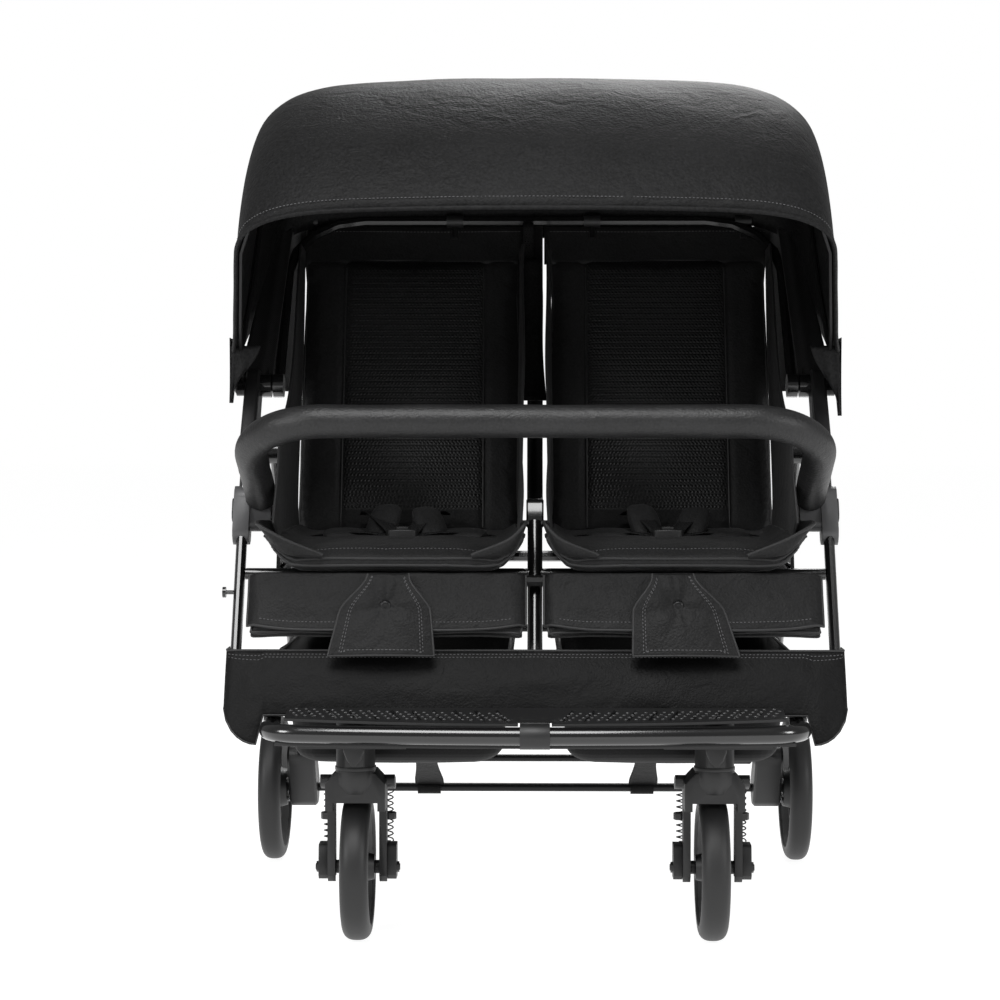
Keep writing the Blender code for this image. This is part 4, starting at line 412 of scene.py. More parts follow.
def canopy_panel(name, start, end, steps):
    """One panel: the section spun round the hub, sagged between its bows and drawn in behind."""
    bm = bmesh.new()
    ring = [bm.verts.new(canopy_point(p.x, p.y, start)) for p in section]
    edges = [bm.edges.new(pair) for pair in zip(ring, ring[1:])]
    sweep = radians(end - start)
    bmesh.ops.spin(
        bm, geom=ring + edges, cent=HUB, axis=(1, 0, 0), angle=sweep, steps=steps, use_merge=False
    )
    for vert in bm.verts:
        offset = vert.co - HUB
        x, r = offset.x * 1000, hypot(offset.y, offset.z) * 1000
        angle = degrees(atan2(offset.z, offset.y))
        high = min(max((r - 60) / 240, 0), 1)
        if angle > MID_BOW:
            share = (angle - MID_BOW) / (FRONT_EDGE - MID_BOW)
            lift = -FRONT_SAG * sin(pi * share) * high
            hem = max(0.0, (share - 0.94) / 0.06)
            wave = sin(2 * pi * x / GATHER_PITCH + 1.7 * sin(x / 37))
            gather = wave * (0.6 + 0.4 * sin(x / 90))
            lift += GATHER * gather * sin(pi * min(hem, 1)) * high
        else:
            share = (MID_BOW - angle) / (MID_BOW - REAR_EDGE)
            draw = 1 - DRAWN_IN * share**1.6
            draw = 1 + (draw - 1) * min(max((r - 60) / 80, 0), 1)
            lift = r * (draw - 1) - REAR_SAG * sin(pi * share) * high
        wrinkle = noise.noise(offset * 9) * 2.2 * high
        vert.co = canopy_point(x, r, angle, lift + wrinkle)
    bmesh.ops.recalc_face_normals(bm, faces=bm.faces)
    if sum(face.normal.dot(face.calc_center_median() - HUB) for face in bm.faces) < 0:
        bmesh.ops.reverse_faces(bm, faces=bm.faces)
    return walled(new_piece(name, bm, canopy_cloth, None, 60), 1.2, -1)


front_cover = canopy_panel("canopy_cover_front", FRONT_EDGE, MID_BOW + 0.1, 30)
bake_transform(front_cover)
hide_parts("canopy_front")
rear_cover = canopy_panel("canopy_cover_rear", MID_BOW - 0.1, REAR_EDGE, 14)
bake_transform(rear_cover)
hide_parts("canopy_rear")
hem_line = [canopy_point(p.x, p.y, FRONT_EDGE + 0.2, 0.4) for p in section]
hem_pipe = tubing("canopy_hem_piping", hem_line, 2.6, canopy_cloth, "canopy_front", sides=4)
stitch_line = [canopy_point(p.x, p.y, FRONT_EDGE - 2.1, 0.5) for p in section[12:-12]]
hem_stitch = stitching("canopy_hem_stitches", stitch_line, "canopy_front")
seam_line = [canopy_point(p.x, p.y, MID_BOW, 0.7) for p in section[3:-3]]
bow_seam = tubing("canopy_bow_seam", seam_line, 1.3, canopy_cloth, "canopy_mid")


# Hub covers and side cloths: leaf-shaped flaps that hang over the canopy's hubs, and the
# narrow cloths that close the sides between the rear bow and the canopy.
def hanging(name, columns, rows, place, material, body, thick=1.0):
    """A sheet of cloth as a grid, laid out by a formula of its share across and down."""
    bm = bmesh.new()
    bmesh.ops.create_grid(bm, x_segments=columns, y_segments=rows, size=0.5)
    for vert in bm.verts:
        vert.co = place(vert.co.x + 0.5, 0.5 - vert.co.y)
    return walled(new_piece(name, bm, material, body, 60), thick)


lining = finish(
    "black_lining", 0.006, 0.012, (0.75, 0.9), (0.3, 0.0005), fine=700, sheen=0.08, threads=800, shine=0.12
)
BACK_LEAN = radians(72.35)


def back_line(z):
    """How far back the backrests' plane lies at height z."""
    return 260 + (z - 440) / tan(BACK_LEAN)


for tag, side, low in (("l", -1, 636), ("r", 1, 620)):
    def hub_leaf(across, down):
        width = 62 * (1 - 0.62 * down**2.2)
        y = 132 + 22 * down + width * across
        z = 716 + (low - 716) * down
        belly = sin(pi * across) * 2.4
        return at(side * (375.6 + belly + 2.2 * down), y, z)

    def side_cloth(across, down):
        z = 868 + (652 - 868) * down
        bow = 200 + (z - 658) / tan(radians(REAR_EDGE))
        r = hypot(bow - 200, z - 658)
        outer = 343 + (374 - 343) * (1 - min(r / 300, 1))
        x = 312 + (outer - 312) * across
        pleat = 1.8 * sin(across * 16 + 3 * down) * sin(pi * across)
        front = back_line(z) + 12
        y = front + (bow - 14 - front) * min(across * 2, 1) ** 1.5 + 4 * max(0, across - 0.5) + pleat
        return at(side * x, min(y, bow - 12) if across > 0.3 else y, z)

    def front_leaf(across, down):
        x = 373.5 - 36 * across * (1 - 0.85 * down**1.5)
        z = 706 + (low + 4 - 706) * down * (1 - 0.35 * across)
        return at(side * x, 129 + 3 * sin(9 * across) * down + 3 * down, z)

    leaf = hanging("hub_cover_" + tag, 10, 16, hub_leaf, canopy_cloth, "canopy_front", 1.2)
    hanging("hub_corner_" + tag, 10, 12, front_leaf, canopy_cloth, "canopy_front", 1.2)
    closing = hanging("side_cloth_" + tag, 16, 24, side_cloth, lining, "frame")


# Backrests: a padded cover over a board, with a mesh panel between two long seams, hung on
# the seat frame's rear tube and clipped to the rear bow at the top.
def puff(obj, cap):
    """Stuff a cushion: swell its cover with a little air pressure, no further than the cap."""

    def settled():
        return bpy.data.meshes.new_from_object(obj.evaluated_get(bpy.context.evaluated_depsgraph_get()))

    scene = bpy.context.scene
    remesh = obj.modifiers.new("remesh", "REMESH")
    remesh.mode = "VOXEL"
    remesh.voxel_size = 0.005
    bpy.context.view_layer.update()
    skin = settled()
    obj.modifiers.remove(remesh)
    obj.data = skin
    rest = [vert.co.copy() for vert in skin.vertices]
    cloth = obj.modifiers.new("stuffing", "CLOTH")
    cloth.settings.quality = 4
    cloth.settings.use_pressure = True
    cloth.settings.uniform_pressure_force = 4
    cloth.settings.effector_weights.gravity = 0
    cloth.point_cache.frame_start = 1
    cloth.point_cache.frame_end = 20
    for number in range(1, 21):
        scene.frame_set(number)
    swollen = settled()
    for vert, old in zip(swollen.vertices, rest):
        move = vert.co - old
        if move.length > cap:
            vert.co = old + move * (cap / move.length)
    obj.modifiers.remove(cloth)
    obj.data = swollen
    scene.frame_set(1)


def stuffed(name, place, cuts, material, body):
    """A closed cushion form: a cube in shares of -1 to 1, laid out by a formula."""
    bm = bmesh.new()
    bmesh.ops.create_cube(bm, size=2)
    bmesh.ops.subdivide_edges(bm, edges=bm.edges[:], cuts=cuts, use_grid_fill=True)
    for vert in bm.verts:
        vert.co = place(*vert.co)
    bmesh.ops.recalc_face_normals(bm, faces=bm.faces)
    return new_piece(name, bm, material, body, 0)


def soften(obj):
    """One subdivision, so that the cover curves smoothly."""
    finer = obj.modifiers.new("finer", "SUBSURF")
    finer.levels = finer.render_levels = 1


def other_side(obj, name, body):
    """The same cover made for the other seat, mirrored."""
    bm = bmesh.new()
    bm.from_mesh(obj.data)
    bmesh.ops.scale(bm, vec=(-1, 1, 1), verts=bm.verts)
    bmesh.ops.reverse_faces(bm, faces=bm.faces)
    twin = new_piece(name, bm, obj.data.materials[0], body, 0)
    for material in list(obj.data.materials)[1:]:
        twin.data.materials.append(material)
    soften(twin)
    return twin


def pressed(obj, seams, depth, width):
    """Draw a cover in along the seams that run up it, each given by how far across it lies."""
    normals = [vert.normal.copy() for vert in obj.data.vertices]
    for vert, normal in zip(obj.data.vertices, normals):
        near = min(abs(vert.co.x * 1000 - seam) for seam in seams)
        vert.co -= normal * depth / 1000 * exp(-((near / width) ** 2))


def row_across(form, down, steps, clear=0, proud=0):
    """A row of points across a sheet, clear of its ends and proud of its front."""
    off = Vector((0, -proud / 1000, 0))
    return [form(i / steps, down) + off for i in range(clear, steps + 1 - clear)]


def onto(cover, points, side, proud=0.4):
    """Bring points down onto the left seat's cover, for the right seat when side is -1."""
    line = []
    for point in points:
        hit, place, normal, face = cover.closest_point_on_mesh(point)
        place = place + normal * proud / 1000
        line.append(Vector((side * place.x, place.y, place.z)))
    return line


seat_cloth = finish(
    "seat_polyester", 0.004, 0.014, (0.55, 0.75), (0.7, 0.001), fine=360, broad=6, sheen=0.04,
    shine=0.26, crease=2.0,
)
mesh_cloth = finish(
    "back_mesh", 0.002, 0.009, (0.4, 0.6), (0.45, 0.0007), fine=300, broad=9, threads=420, shine=0.4
)
piping_cloth = finish(
    "piping_tape", 0.008, 0.016, (0.45, 0.6), (0.2, 0.0003), fine=900, sheen=0.06, shine=0.45
)
back_hinge = Vector((0, 260, 440))
back_up = Vector((0, cos(BACK_LEAN), sin(BACK_LEAN)))
back_out = Vector((0, -back_up.z, back_up.y))
SEAM_A, SEAM_B = -65, -251


def back_place(u, v, lift):
    """A place on the left backrest: shares across and up, and millimetres off its board."""
    corner = 1 - 0.05 * u * u * v * v * (1 if v > 0 else 0.4)
    x = -162 + 150.5 * u * corner - 2.5 * u * (1 - v * v)
    up = 15 + 396 * (0.5 + 0.5 * v)
    point = back_hinge + back_up * up + back_out * lift
    return at(x, point.y, point.z)


def back_form(u, v, w):
    crown = (1 - abs(u) ** 3) * (1 - abs(v) ** 6)
    return back_place(u, v, w * (6 + 3 * crown) + 1.5 * crown)


back_left = stuffed("backrest_cover_l", back_form, 25, seat_cloth, None)
puff(back_left, 0.006)
pressed(back_left, (SEAM_A, SEAM_B), 3.0, 4)
back_left.data.materials.append(mesh_cloth)
for face in back_left.data.polygons:
    between = SEAM_B + 2 < face.center.x * 1000 < SEAM_A - 2
    if between and face.normal.dot(back_out) > 0.5 and face.center.z > 0.5:
        face.material_index = 1
soften(back_left)
back_right = other_side(back_left, "backrest_cover_r", "backrest_r")
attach(back_left, "backrest_l")
for tag, side, cover in (("l", 1, back_left), ("r", -1, back_right)):
    body = "backrest_" + tag
    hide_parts(body)

    rim = [back_place(-1, v, 6) for v in (-0.96, -0.5, 0, 0.5, 0.93)]
    rim += [back_place(u, 1, 6) for u in (-0.93, -0.5, 0, 0.5, 0.93)]
    rim += [back_place(1, v, 6) for v in (0.93, 0.5, 0, -0.5, -0.96)]
    tubing("backrest_piping_" + tag, onto(back_left, smooth(rim, 8), side), 1.8, piping_cloth, body)
    for seam_tag, u in (("a", -0.59), ("b", 0.64)):
        seam = onto(back_left, [back_place(u, i / 20, 12) for i in range(-18, 19)], side, 0.2)
        tubing("backrest_seam_%s_%s" % (tag, seam_tag), seam, 1.3, piping_cloth, body)

    def hood(across, down):
        lift = 1 + 5 * down**2 + 1.6 * sin(7 * across + 2 * down) * sin(pi * across)
        point = back_hinge + back_up * (398 + 55 * (1 - down)) + back_out * lift
        return at(side * (-312 + 300 * across), point.y, point.z)

    top_panel = hanging("backrest_top_panel_" + tag, 30, 8, hood, seat_cloth, body, 1.6)
    row = row_across(hood, 0.12, 40, 1, 1.2)
    stitching("backrest_top_stitches_" + tag, row, body)


# Seat pads: a cushion with a raised wing down each side that flares at the front corners,
# piped all round, and the side cloths that rise from it to the backrest.
def leg_line(z):
    """How far back the front legs' middle lies at height z."""
    return 97 - (540 - z) * tan(radians(26.2))


def pad_under(y):
    """The height of the seat frame's top under the pads."""
    slope = 16 / 246
    return 430.5 + 7.3 / cos(atan(slope)) + (y - leg_line(430.5)) * slope


def part_way(line, share):
    """The point at a share of the way along a line, and the line's direction there."""
    step = share * (len(line) - 1)
    start = min(int(step), len(line) - 2)
    run = line[start + 1] - line[start]
    return line[start].lerp(line[start + 1], step - start), run.normalized()


def seat_place(u, v, lift):
    """A place on the left seat pad: shares across and back, and millimetres off the frame."""
    y = 122 + 125.5 * v - 3.5 * (1 - u * u) * (1 if v < 0 else 0) * abs(v)
    flare = 14 * max(0.0, (0.35 - (v + 1) / 2) / 0.35) * max(0.0, abs(u) - 0.6) / 0.4
    wing_rise = max(0.0, (abs(u) - 0.8) / 0.2)
    wing = 36 * wing_rise**1.5 * (1 - 0.5 * (v + 1) / 2)
    x = -162 + (147 * u) + (flare if u > 0 else -flare) * (0.35 if u > 0 else 1)
    return at(x, y, pad_under(y) + 0.6 + lift + wing)


def seat_form(u, v, w):
    side_v = 1 - 0.06 * abs(u) ** 8
    thick = 24 * (1 - 0.45 * abs(u) ** 6) * (1 - 0.35 * abs(v) ** 8)
    crown = 5 * (1 - u * u) * (1 - v * v)
    return seat_place(u, v * side_v, 12 + w * (thick / 2 - 1) + (crown if w > 0 else 0) * (w + 1) / 2)


seat_left = stuffed("seat_pad_cover_l", seat_form, 25, seat_cloth, None)
puff(seat_left, 0.004)
soften(seat_left)
seat_right = other_side(seat_left, "seat_pad_cover_r", "frame")
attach(seat_left, "frame")
for tag, side, cover in (("l", 1, seat_left), ("r", -1, seat_right)):
    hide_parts("seat_pad_" + tag)

    for level_tag, lift in (("top", 19), ("low", 6)):
        front = [seat_place(-1, v, lift) for v in (0.9, 0.3, -0.4, -0.9)]
        front += [seat_place(u, -1.02, lift) for u in (-0.97, -0.9, -0.8, -0.5, 0, 0.5, 0.8, 0.9, 0.97)]
        front += [seat_place(1, v, lift) for v in (-0.9, -0.4, 0.3, 0.9)]
        line = onto(seat_left, smooth(front, 8), side)
        tubing("seat_piping_%s_%s" % (level_tag, tag), line, 1.9, piping_cloth, "frame")
    row = onto(seat_left, [seat_place(i / 30, -0.86, 30) for i in range(-23, 24)], side, 0.3)
    stitching("seat_stitches_" + tag, row, "frame")
    crook = smooth([(222, 462), (246, 462), (262, 468), (272, 486), (279, 508)], 4)

    def bridge(across, down):
        spot = crook[min(int((1 - down) * 16.01), 16)]
        return at(side * (-305 + 287 * across), spot.x, spot.y + 1.4 * sin(15 * across))

    join = hanging("seat_join_" + tag, 24, 16, bridge, seat_cloth, None, 1.6)
    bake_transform(join)

    foot_yz = ((18, 466), (120, 470), (235, 476), (272, 520), (318, 680), (362, 838))
    base_yz = ((-5, 452), (-5, 455), (8, 460), (45, 467), (84, 471))
    tip_yz = ((-8, 456), (-10, 474), (-3, 493), (38, 493), (84, 491))
    for wall_tag, x_foot, x_head, cut, rise, base_x, tip_x in (
        ("out", -304, -309, 0.05, ((0, 493), (44, 556), (104, 602), (176, 640), (272, 736), (356, 846)),
         (-250, -285, -300, -304, -305), (-250, -294, -328, -320, -309)),
        ("in", -21, -16, 0.038, ((2, 493), (84, 530), (166, 588), (222, 652), (288, 746), (356, 846)),
         (-75, -40, -25, -21, -20), (-75, -31, -11.5, -12.5, -16)),
    ):
        foot, head = smooth(foot_yz, 6), smooth(rise, 6)

        def wall(across, down):
            low, high = part_way(foot, across)[0], part_way(head, across)[0]
            spot = high.lerp(low, down)
            belly = 2.2 * sin(11 * across + 4 * down) * sin(pi * across)
            return at(side * (x_head + (x_foot - x_head) * down + belly), spot.x, spot.y)

        side_wall = hanging("seat_wall_%s_%s" % (wall_tag, tag), 36, 12, wall, seat_cloth, None, 1.6)
        edge = row_across(wall, 0, 36)
        hem = tubing("seat_wall_hem_%s_%s" % (wall_tag, tag), edge, 1.6, piping_cloth, None)
        for cloth in (side_wall, hem):
            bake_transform(cloth)

        # The front corners flare out as padded leaves, bound along their edge.
        base = smooth([(x, *yz) for x, yz in zip(base_x, base_yz)], 5)
        tips = smooth([(x, *yz) for x, yz in zip(tip_x, tip_yz)], 5)

        def leaf_form(across, down):
            spot = part_way(tips, across)[0].lerp(part_way(base, across)[0], down)
            return at(side * spot.x, spot.y - 2 * sin(pi * down), spot.z)

        corner_tag = "%s_%s" % (wall_tag, tag)
        corner = hanging("seat_corner_" + corner_tag, 20, 8, leaf_form, seat_cloth, "frame", 4.0)
        soften(corner)
        edge = row_across(leaf_form, 0, 24)
        rim = tubing("seat_corner_rim_" + corner_tag, edge, 2.2, piping_cloth, "frame")


# Harnesses: woven webbing, a moulded buckle, gathered waist pads and puffy shoulder pads,
# lying loose on each seat.
webbing = finish("webbing", 0.006, 0.013, (0.6, 0.75), (0.5, 0.0006), fine=900, threads=560, shine=0.2)
for tag, side in SIDES:
    middle = side * 162
    for pad_name, dx, y, z, wide, deep, tall, lean, twist, folds in (
        ("shoulder_a", -26, 150, 487, 19, 30, 9, 0.75, 0.3, 2),
        ("shoulder_b", 32, 142, 485, 19, 30, 9, 0.7, -0.35, 2),
        ("waist_a", -72, 122, 473, 27, 15, 8, 0.25, -0.25, 5),
        ("waist_b", 76, 122, 473, 27, 15, 8, 0.25, 0.3, 5),
        ("crotch", 0, 72, 466, 22, 22, 6, 0.2, 0.0, 6),
    ):
        leant = Matrix.Rotation(twist * side, 4, "Z") @ Matrix.Rotation(lean, 4, "X")
        laid = Matrix.Translation(at(middle + dx, y, z)) @ leant

        def pad_form(u, v, w):
            crown = (1 - 0.55 * u**4) * (1 - 0.55 * v**4)
            ruffle = 0.9 * sin(folds * 3 * u) * v * v * crown
            x = wide * u * (1 - 0.12 * v * v)
            return laid @ (Vector((x, deep * v * (1 - 0.12 * u * u), tall * w * crown + ruffle)) / 1000)

        pad = stuffed("harness_%s_%s" % (pad_name, tag), pad_form, 9, seat_cloth, "frame")
        soften(pad)
    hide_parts("harness_" + tag)
    for strap_name, points, wide in (
        ("crotch", [(0, 30, 462), (0, 60, 469), (0, 100, 474)], 12.5),
        ("waist_a", [(-18, 108, 474), (-50, 118, 477), (-100, 128, 474), (-128, 150, 464)], 10),
        ("waist_b", [(18, 108, 474), (50, 118, 477), (100, 128, 474), (128, 150, 464)], 10),
        ("shoulder_a", [(-10, 116, 476), (-22, 140, 490), (-36, 190, 500), (-44, 244, 494)], 10),
        ("shoulder_b", [(10, 116, 476), (26, 140, 490), (44, 190, 500), (52, 244, 494)], 10),
    ):
        line = smooth(points, 6)

        def strap_form(across, down):
            here, along = part_way(line, down)
            spot = here + along.cross(Vector((0, 0, 1))).normalized() * (across - 0.5) * 2 * wide
            return at(middle + side * spot.x, spot.y, spot.z)

        hanging("harness_strap_%s_%s" % (strap_name, tag), 4, 20, strap_form, webbing, "frame", 1.4)
    for part_name, lift, wide, deep, tall in (("body", 476, 20, 15, 6), ("catch", 482, 9, 8, 3)):
        def buckle_form(u, v, w):
            round_off = 1 - 0.18 * (u * u * v * v)
            lip = tall * w * (1 - 0.2 * u * u * v * v)
            return at(middle, 104, lift) + Vector((wide * u * round_off, deep * v * round_off, lip)) / 1000

        soften(stuffed("buckle_%s_%s" % (part_name, tag), buckle_form, 5, nylon, "frame"))


# Calf rests: flat pads with a gusset, piped round the front and the back, hung under the
# seats' front edge, and the stitched crotch flaps that hang over them from a snap.
flap_cloth = finish(
    "flap_leather_look", 0.003, 0.012, (0.42, 0.6), (0.7, 0.001), fine=380, broad=12, sheen=0.01,
    shine=0.18, crease=2.0,
)
calf_hinge = Vector((0, 14, 424))
CALF_LEAN = radians(28)
calf_down = Vector((0, -sin(CALF_LEAN), -cos(CALF_LEAN)))
calf_out = Vector((0, -cos(CALF_LEAN), sin(CALF_LEAN)))


def calf_place(u, v, lift):
    """A place on the left calf rest: shares across and down, and millimetres off its board."""
    corner = 1 - 0.012 * v * v
    x = -174.5 + 162.5 * u * corner
    down = 11 + 60 * (0.5 + 0.5 * v) * (1 + 0.05 * (1 - u * u))
    point = calf_hinge + calf_down * down + calf_out * lift
    return at(x, point.y, point.z)


def calf_form(u, v, w):
    crown = (1 - u**8) * (1 - v**4)
    return calf_place(u, v, w * (6.5 + 1.2 * crown) + 0.4 * crown)


calf_left = stuffed("calf_cover_l", calf_form, 25, flap_cloth, None)
puff(calf_left, 0.004)
soften(calf_left)
calf_right = other_side(calf_left, "calf_cover_r", "calf_rest_r")
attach(calf_left, "calf_rest_l")
for tag, side, cover in (("l", 1, calf_left), ("r", -1, calf_right)):
    body = "calf_rest_" + tag
    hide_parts(body)

    for rim_tag, lift in (("front", 8.2), ("back", -7.5)):
        loop = [calf_place(u, 1.0, lift) for u in (-0.97, -0.5, 0, 0.5, 0.97)]
        loop += [calf_place(1.0, v, lift) for v in (0.9, 0, -0.9)]
        loop += [calf_place(u, -1.0, lift) for u in (0.97, 0.5, 0, -0.5, -0.97)]
        loop += [calf_place(-1.0, v, lift) for v in (-0.9, 0, 0.9)]
        line = onto(calf_left, smooth(loop + loop[:1], 8), side)
        tubing("calf_piping_%s_%s" % (rim_tag, tag), line, 1.7, piping_cloth, body)

    def calf_front(across, down):
        end = abs(2 * across - 1)
        rise = -4 + (73 - 9 * end**5) * down
        lift = 15.5 - 2.2 * min(1, 3 * down) + 1.8 * sin(pi * down) * (1 - end**4)
        pinch = 9 * max(0, (end - 0.93) / 0.07) ** 2
        lift += 1.3 * noise.noise(Vector((across * 9, down * 3, side))) - pinch
        point = calf_hinge + calf_down * rise + calf_out * lift
        return at(side * (-338 + 327 * across), point.y, point.z)

    front_panel = hanging("calf_front_" + tag, 54, 16, calf_front, flap_cloth, None, 2.0)
    soften(front_panel)
    outline = [calf_front(0.0, i / 10) for i in range(10)] + row_across(calf_front, 1, 40)
    outline += [calf_front(1.0, 1 - i / 10) for i in range(1, 11)]
    edge_pipe = tubing("calf_front_piping_" + tag, outline, 1.8, piping_cloth, None)
    for cloth in (front_panel, edge_pipe):
        calf_front(0.5, 0.02)
        calf_front(0.5, 0.3)
        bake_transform(cloth)
    row = row_across(calf_front, 0.86, 40, 2, 1.4)
    hem_row = stitching("calf_stitches_" + tag, row, body)
    top_x, low_x = (-172.5, -179.5) if tag == "l" else (-162, -176)

    def flap(across, down):
        widening = min(down / 0.5, 1)
        half = 24 + 30 * widening**2 * (3 - 2 * widening) + 8 * max(0, down - 0.5) / 0.5
        middle_x = top_x + (low_x - top_x) * down
        out = 2 * across - 1
        x = middle_x + half * out
        y = -8 - 38 * down**0.85 + 4 * out**2 * down - 3 * sin(pi * across) * down
        z = 434 - 94 * down + 1.5 * sin(3 * across) * down
        pucker = 4 * exp(-(((x - middle_x) / 16) ** 2) - ((down - 0.4) / 0.17) ** 2)
        fan = 0.9 * sin(7 * atan2(down - 0.4, out * 0.7))
        return at(side * x, y + pucker + fan * exp(-(((down - 0.4) / 0.3) ** 2)), z)

    cloth = hanging("crotch_flap_" + tag, 30, 26, flap, flap_cloth, None, 1.4)
    soften(cloth)
    rows = []
    for row_tag, inset in (("outer", 0.10), ("inner", 0.125)):
        line = [flap(inset, 0.04 + 0.92 * i / 14) for i in range(15)]
        line += [flap(inset + (1 - 2 * inset) * i / 14, 0.93) for i in range(1, 14)]
        line += [flap(1 - inset, 0.96 - 0.92 * i / 14) for i in range(15)]
        line = [point + Vector((0, -0.0011, 0)) for point in line]
        rows.append(stitching("flap_stitches_%s_%s" % (row_tag, tag), line, None))
    border = [flap(0, i / 14) for i in range(15)] + [flap(i / 14, 1) for i in range(1, 15)]
    border += [flap(1, 1 - i / 14) for i in range(1, 15)]
    rows.append(tubing("flap_binding_" + tag, border, 1.3, piping_cloth, None))
    for piece in (cloth, *rows):
        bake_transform(piece)
    cap = [(0, 0, 0), (0, -2.2, 0), (2.4, -3.2, 0), (4.6, -3.0, 0), (6.6, -1.6, 0), (7.2, 0, 0)]
    snap = spun(cap, flap(0.5, 0.4), (0, 1, 0), 28, closed=False)
    rows.append(new_piece("snap_" + tag, snap, blackened, body))


# Bumper bar: a bent tube in foam under a leather-look cover, stitched along the inside and
# wrinkled where it turns down to its sockets.
leather = finish(
    "bumper_leather_look", 0.004, 0.018, (0.38, 0.54), (0.6, 0.0009), fine=380, broad=14, shine=0.4,
    crease=1.5,
)
BAR_LEAN = radians(26.6)
bar_forward = Vector((0, -cos(BAR_LEAN), sin(BAR_LEAN)))
bar_end = Vector((0, 70, 523))
BAR_HALF, BAR_REACH, BAR_BEND, BAR_R = 331, 202, 92, 19


def bar_place(across, forward):
    """A place on the bar: across, and forward of its ends in the plane that it lies in."""
    point = bar_end + bar_forward * forward
    return at(across, point.y, point.z)


def bar_path(half, reach, corner, steps):
    """The U of the bar along its middle, with an arc at each corner."""
    def arc(middle, first):
        turns = [radians(first - 90 * i / steps) for i in range(steps + 1)]
        return [(middle + corner * cos(a), reach - corner + corner * sin(a)) for a in turns]

    points = [(-half, reach * 0.12 * i) for i in range(5)] + arc(-half + corner, 180)
    points += [(-half + corner + (2 * half - 2 * corner) * i / 40, reach) for i in range(1, 40)]
    points += arc(half - corner, 90) + [(half, reach * 0.12 * (4 - i)) for i in range(5)]
    return [bar_place(*point) for point in points]


route = bar_path(BAR_HALF, BAR_REACH, BAR_BEND, 22)
padding = tubing("bumper_cover", route, BAR_R, leather, None, sides=14)
for vert in padding.data.vertices:
    x, z = vert.co.x * 1000, vert.co.z * 1000
    bend = exp(-(((abs(x) - 300) / 30) ** 2))
    inner = max(0.0, (600 - z) / 90)
    crease = sin(abs(x) * 0.42 + z * 0.3) * 0.9 + noise.noise(vert.co * 60) * 1.2
    vert.co += vert.normal * (bend * min(inner, 1) * crease + noise.noise(vert.co * 14) * 0.9) / 1000
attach(padding, "bumper")
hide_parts("bumper_bar")
seam_route = [point + Vector((0, 0.0135, -0.0135)) for point in route[8:-8]]
stitching("bumper_stitches", seam_route, "bumper", pitch=6, length=4)
for tag, side in SIDES:
    plug = [bar_place(side * BAR_HALF, f) for f in (-20, -10, 0, 8)]
    tubing("bumper_plug_" + tag, plug, 8, nylon, "bumper", sides=8)
    cuff = [bar_place(side * BAR_HALF, f) for f in (-1.5, 2, 5)]
    tubing("bumper_cuff_" + tag, cuff, 18, nylon, "bumper", sides=14)


# Handle grip: a foam sleeve with a leather-look cover, drawn over the middle of the pushing
# bar and slightly uneven to the hand.
grip_line = [at(-215 + 430 * i / 60, 585, 1004.6) for i in range(61)]
grip = tubing("grip_cover", grip_line, 16, leather, None, sides=12)
for vert in grip.data.vertices:
    vert.co += vert.normal * noise.noise(vert.co * 22) * 0.0007
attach(grip, "handle")
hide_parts("handle_grip")


# Basket: a leather-look apron wrapped round the front legs, and two sagging wells of woven
# cloth behind it, hung from the apron and from a rod at the back.
basket_cloth = finish(
    "apron_leather_look", 0.002, 0.007, (0.4, 0.62), (0.7, 0.001), fine=420, broad=6, shine=0.12, crease=1.8
)
APRON_TOP, WRAP_FROM, WRAP_TO, WRAP_R = 344, 353, 369, 10.2


def apron_edge(x):
    """The apron's lower edge: straight behind the footrest, with a pouch round each leg."""
    wide = abs(x)
    if wide < 322:
        return 272 + 5 * exp(-((x / 20) ** 4))
    share = min((wide - 322) / 42, 1)
    return 240 + 50 * (1 - sqrt(max(0.0, 1 - share**2)))


def apron_form(across, down):
    """The apron in shares: flat across the legs, then turned round them to the back."""
    run = (across - 0.5) * 2
    reach = abs(run) * 395
    round_leg = min(max((reach - WRAP_FROM) / (WRAP_TO - WRAP_FROM), 0), 1) * pi / 2
    x = copysign(min(reach, WRAP_FROM) + WRAP_R * sin(round_leg), run)
    back = WRAP_R * (1 - cos(round_leg)) + max(0, reach - WRAP_TO)
    z = APRON_TOP + (apron_edge(x) - APRON_TOP) * down
    belly = 5 * sin(pi * down) + 1.6 * noise.noise(Vector((x * 0.012, down * 3, 0)))
    return at(x, leg_line(z) - 16.6 - belly * (1 if reach < 340 else 0.2) + back, z)


apron = hanging("basket_apron", 110, 22, apron_form, basket_cloth, "frame", 1.6)
for row_tag, down in (("top", 0.055), ("low", 0.1)):
    line = row_across(apron_form, down, 90, 3, 1.1)
    stitching("apron_stitches_" + row_tag, line, "frame")
for hem_name, down, radius in (("apron_hem", 0.0, 1.6), ("apron_binding", 1.0, 1.3)):
    line = row_across(apron_form, down, 110)
    tubing(hem_name, line, radius, piping_cloth, "frame")
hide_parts("basket")

